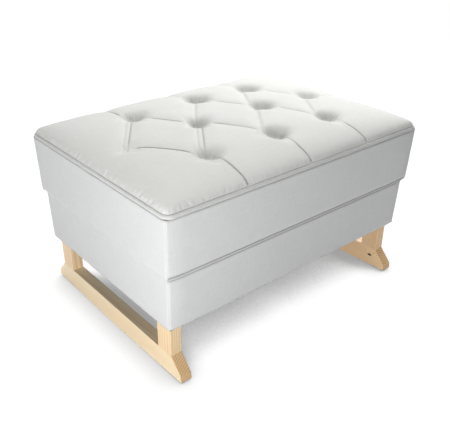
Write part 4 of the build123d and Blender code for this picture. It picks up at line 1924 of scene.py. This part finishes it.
@dataclass(frozen=True)
class Lamp:
    """A soft square lamp that is aimed at the stool, with its power in watts."""

    name: str
    place: Point
    size: float
    power: float
    target: Point = (0.0, 0.0, 0.2)

    def hang(self) -> None:
        """Add the lamp to the scene."""
        data = bpy.data.lights.new(self.name, "AREA")
        data.shape = "SQUARE"
        data.size = self.size
        data.energy = self.power
        lamp = bpy.data.objects.new(self.name, data)
        bpy.context.scene.collection.objects.link(lamp)
        place = Vector(self.place)
        lamp.location = place
        aim = Vector(self.target) - place
        lamp.rotation_euler = aim.to_track_quat("-Z", "Y").to_euler()


@dataclass(frozen=True)
class Studio:
    """Plain white floor with a painted shadow under the stool, white air, soft lamps and the camera.

    Attributes:
        floor_reach: Half of the floor's extent.
        floor_colour: Colour of the floor to the light that it throws back.
        floor_worn: Share of that colour in its darker clouds.
        floor_seen: Colour that catches the lamps' shadows where the floor is seen.
        floor_lift: Strength of the white that is added there.
        shade_samples: Directions that are looked in for the painted shadow under and round the stool.
        contact_reach: Distance within which a foot's painted shadow darkens the floor.
        under_reach: Distance within which the box's painted shadow darkens it.
        under_grey: Grey of the deepest painted shadow.
        air_light: Strength of the air's own light.
        lamps: The lamps.
        eye: Where the camera stands.
        forward: Direction that it looks in.
        roll: Its turn about that direction, in radians.
        focal_pixels: Its focal length in pixels of the photograph.
        frame_pixels: Width of the photograph.
        sensor_width: Width of its sensor in millimetres.
        nearest: Distance of the nearest thing that it shows.
        farthest: Distance of the farthest one.
    """

    floor_reach: float = 20.0
    floor_colour: Colour = (0.75, 0.75, 0.755)
    floor_worn: float = 0.985
    floor_seen: float = 0.08
    floor_lift: float = 1.0
    shade_samples: int = 16
    contact_reach: float = 0.052
    under_reach: float = 0.25
    under_grey: float = 0.34
    air_light: float = 0.02
    lamps: tuple[Lamp, ...] = (
        Lamp("key_lamp", (0.9, 0.75, 1.7), 1.0, 23.3),
        Lamp("rim_lamp", (1.7, 0.9, 1.2), 0.9, 13.5),
        Lamp("right_lamp", (1.9, 0.0, 1.3), 0.9, 10.7),
        Lamp("top_lamp", (0.2, 0.2, 2.0), 1.2, 9.9),
        Lamp("end_lamp", (-1.8, -0.2, 0.6), 0.8, 4.7),
        Lamp("near_lamp", (-0.85, -0.75, 0.35), 0.5, 3.2),
        Lamp("front_lamp", (-1.6, -1.2, 0.5), 0.8, 14.9),
    )
    eye: Point = (-0.73509, -0.86068, 0.74572)
    forward: Point = (0.56654, 0.66960, -0.48029)
    roll: float = 0.00883
    focal_pixels: float = 624.558
    frame_pixels: float = 450.0
    sensor_width: float = 36.0
    nearest: float = 0.01
    farthest: float = 60.0

    def floor(self) -> None:
        """Lay the floor, which is plain to the light and shows white to the camera, darkened by a painted
        shadow under and round the stool and by the lamps' faint shadows.
        """
        square = ((-1, -1, 0), (1, -1, 0), (1, 1, 0), (-1, 1, 0))
        corners = np.array(square) * self.floor_reach
        floor = new_piece("floor", corners, [[0, 1, 2, 3]], corners[:, :2])
        material, tree = shader("floor")
        mottle = tree.noise(tree.place(), 3.0, 2.0)
        worn = tuple(c * self.floor_worn for c in self.floor_colour)
        colour = tree.mix(mottle.smooth(0.3, 0.7), worn, self.floor_colour)
        plain = tree.node("ShaderNodeBsdfDiffuse", {}, {"Color": colour})
        shadow = tree.node("ShaderNodeBsdfDiffuse", {}, {"Color": (self.floor_seen,) * 3})
        # Painted shadow: the white that the camera sees is darkened where the feet and the box stand close
        # over the floor.
        near_air = tree.open_air(self.contact_reach, self.shade_samples)
        wide_air = tree.open_air(self.under_reach, self.shade_samples)
        lift = wide_air.smooth(0.20, 0.50) * near_air * (1.0 - self.under_grey) + self.under_grey
        shade = tree.mix(lift, BLACK, WHITE)
        glow = tree.node("ShaderNodeEmission", {}, {"Color": shade, "Strength": self.floor_lift})
        lit = tree.node("ShaderNodeAddShader", {}, {0: shadow, 1: glow})
        mixed = tree.node("ShaderNodeMixShader", {}, {0: tree.seen(), 1: plain, 2: lit})
        tree.add("ShaderNodeOutputMaterial", {}, {"Surface": mixed})
        floor.data.materials.append(material)

    def air(self) -> None:
        """Light the air evenly and show it white to the camera."""
        world = bpy.data.worlds.new("air")
        bpy.context.scene.world = world
        world.use_nodes = True
        tree = Tree(world.node_tree)
        soft = tree.node("ShaderNodeBackground", {}, {"Color": WHITE, "Strength": self.air_light})
        white = tree.node("ShaderNodeBackground", {}, {"Color": WHITE, "Strength": 1.0})
        mixed = tree.node("ShaderNodeMixShader", {}, {0: tree.seen(), 1: soft, 2: white})
        tree.add("ShaderNodeOutputWorld", {}, {"Surface": mixed})

    def camera(self) -> None:
        """Place the camera at the photograph's angle."""
        data = bpy.data.cameras.new("camera")
        data.sensor_fit = "HORIZONTAL"
        data.sensor_width = self.sensor_width
        data.lens = self.sensor_width * self.focal_pixels / self.frame_pixels
        data.clip_start = self.nearest
        data.clip_end = self.farthest
        camera = bpy.data.objects.new("camera", data)
        bpy.context.scene.collection.objects.link(camera)
        forward = Vector(self.forward).normalized()
        right = forward.cross(Vector((0.0, 0.0, 1.0))).normalized()
        up = right.cross(forward)
        cosine, sine = math.cos(self.roll), math.sin(self.roll)
        turned_right = right * cosine + up * sine
        turned_up = up * cosine - right * sine
        axes = Matrix((turned_right, turned_up, -forward)).transposed().to_4x4()
        camera.matrix_world = Matrix.Translation(Vector(self.eye)) @ axes
        bpy.context.scene.camera = camera

    def set_up(self) -> None:
        """Set up the whole studio."""
        self.floor()
        self.air()
        for lamp in self.lamps:
            lamp.hang()
        self.camera()
        bpy.context.scene.view_settings.view_transform = "Standard"


def main() -> None:
    """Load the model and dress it."""
    logging.basicConfig(level=logging.INFO, format="%(name)s: %(message)s")
    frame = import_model()
    Studio().set_up()
    stool = Footstool(frame)
    stool.cushion()
    stool.walls()
    stool.pipings()
    stool.underside()
    stool.rockers()
    stool.inner_frame()


if __name__ == "__main__":
    main()
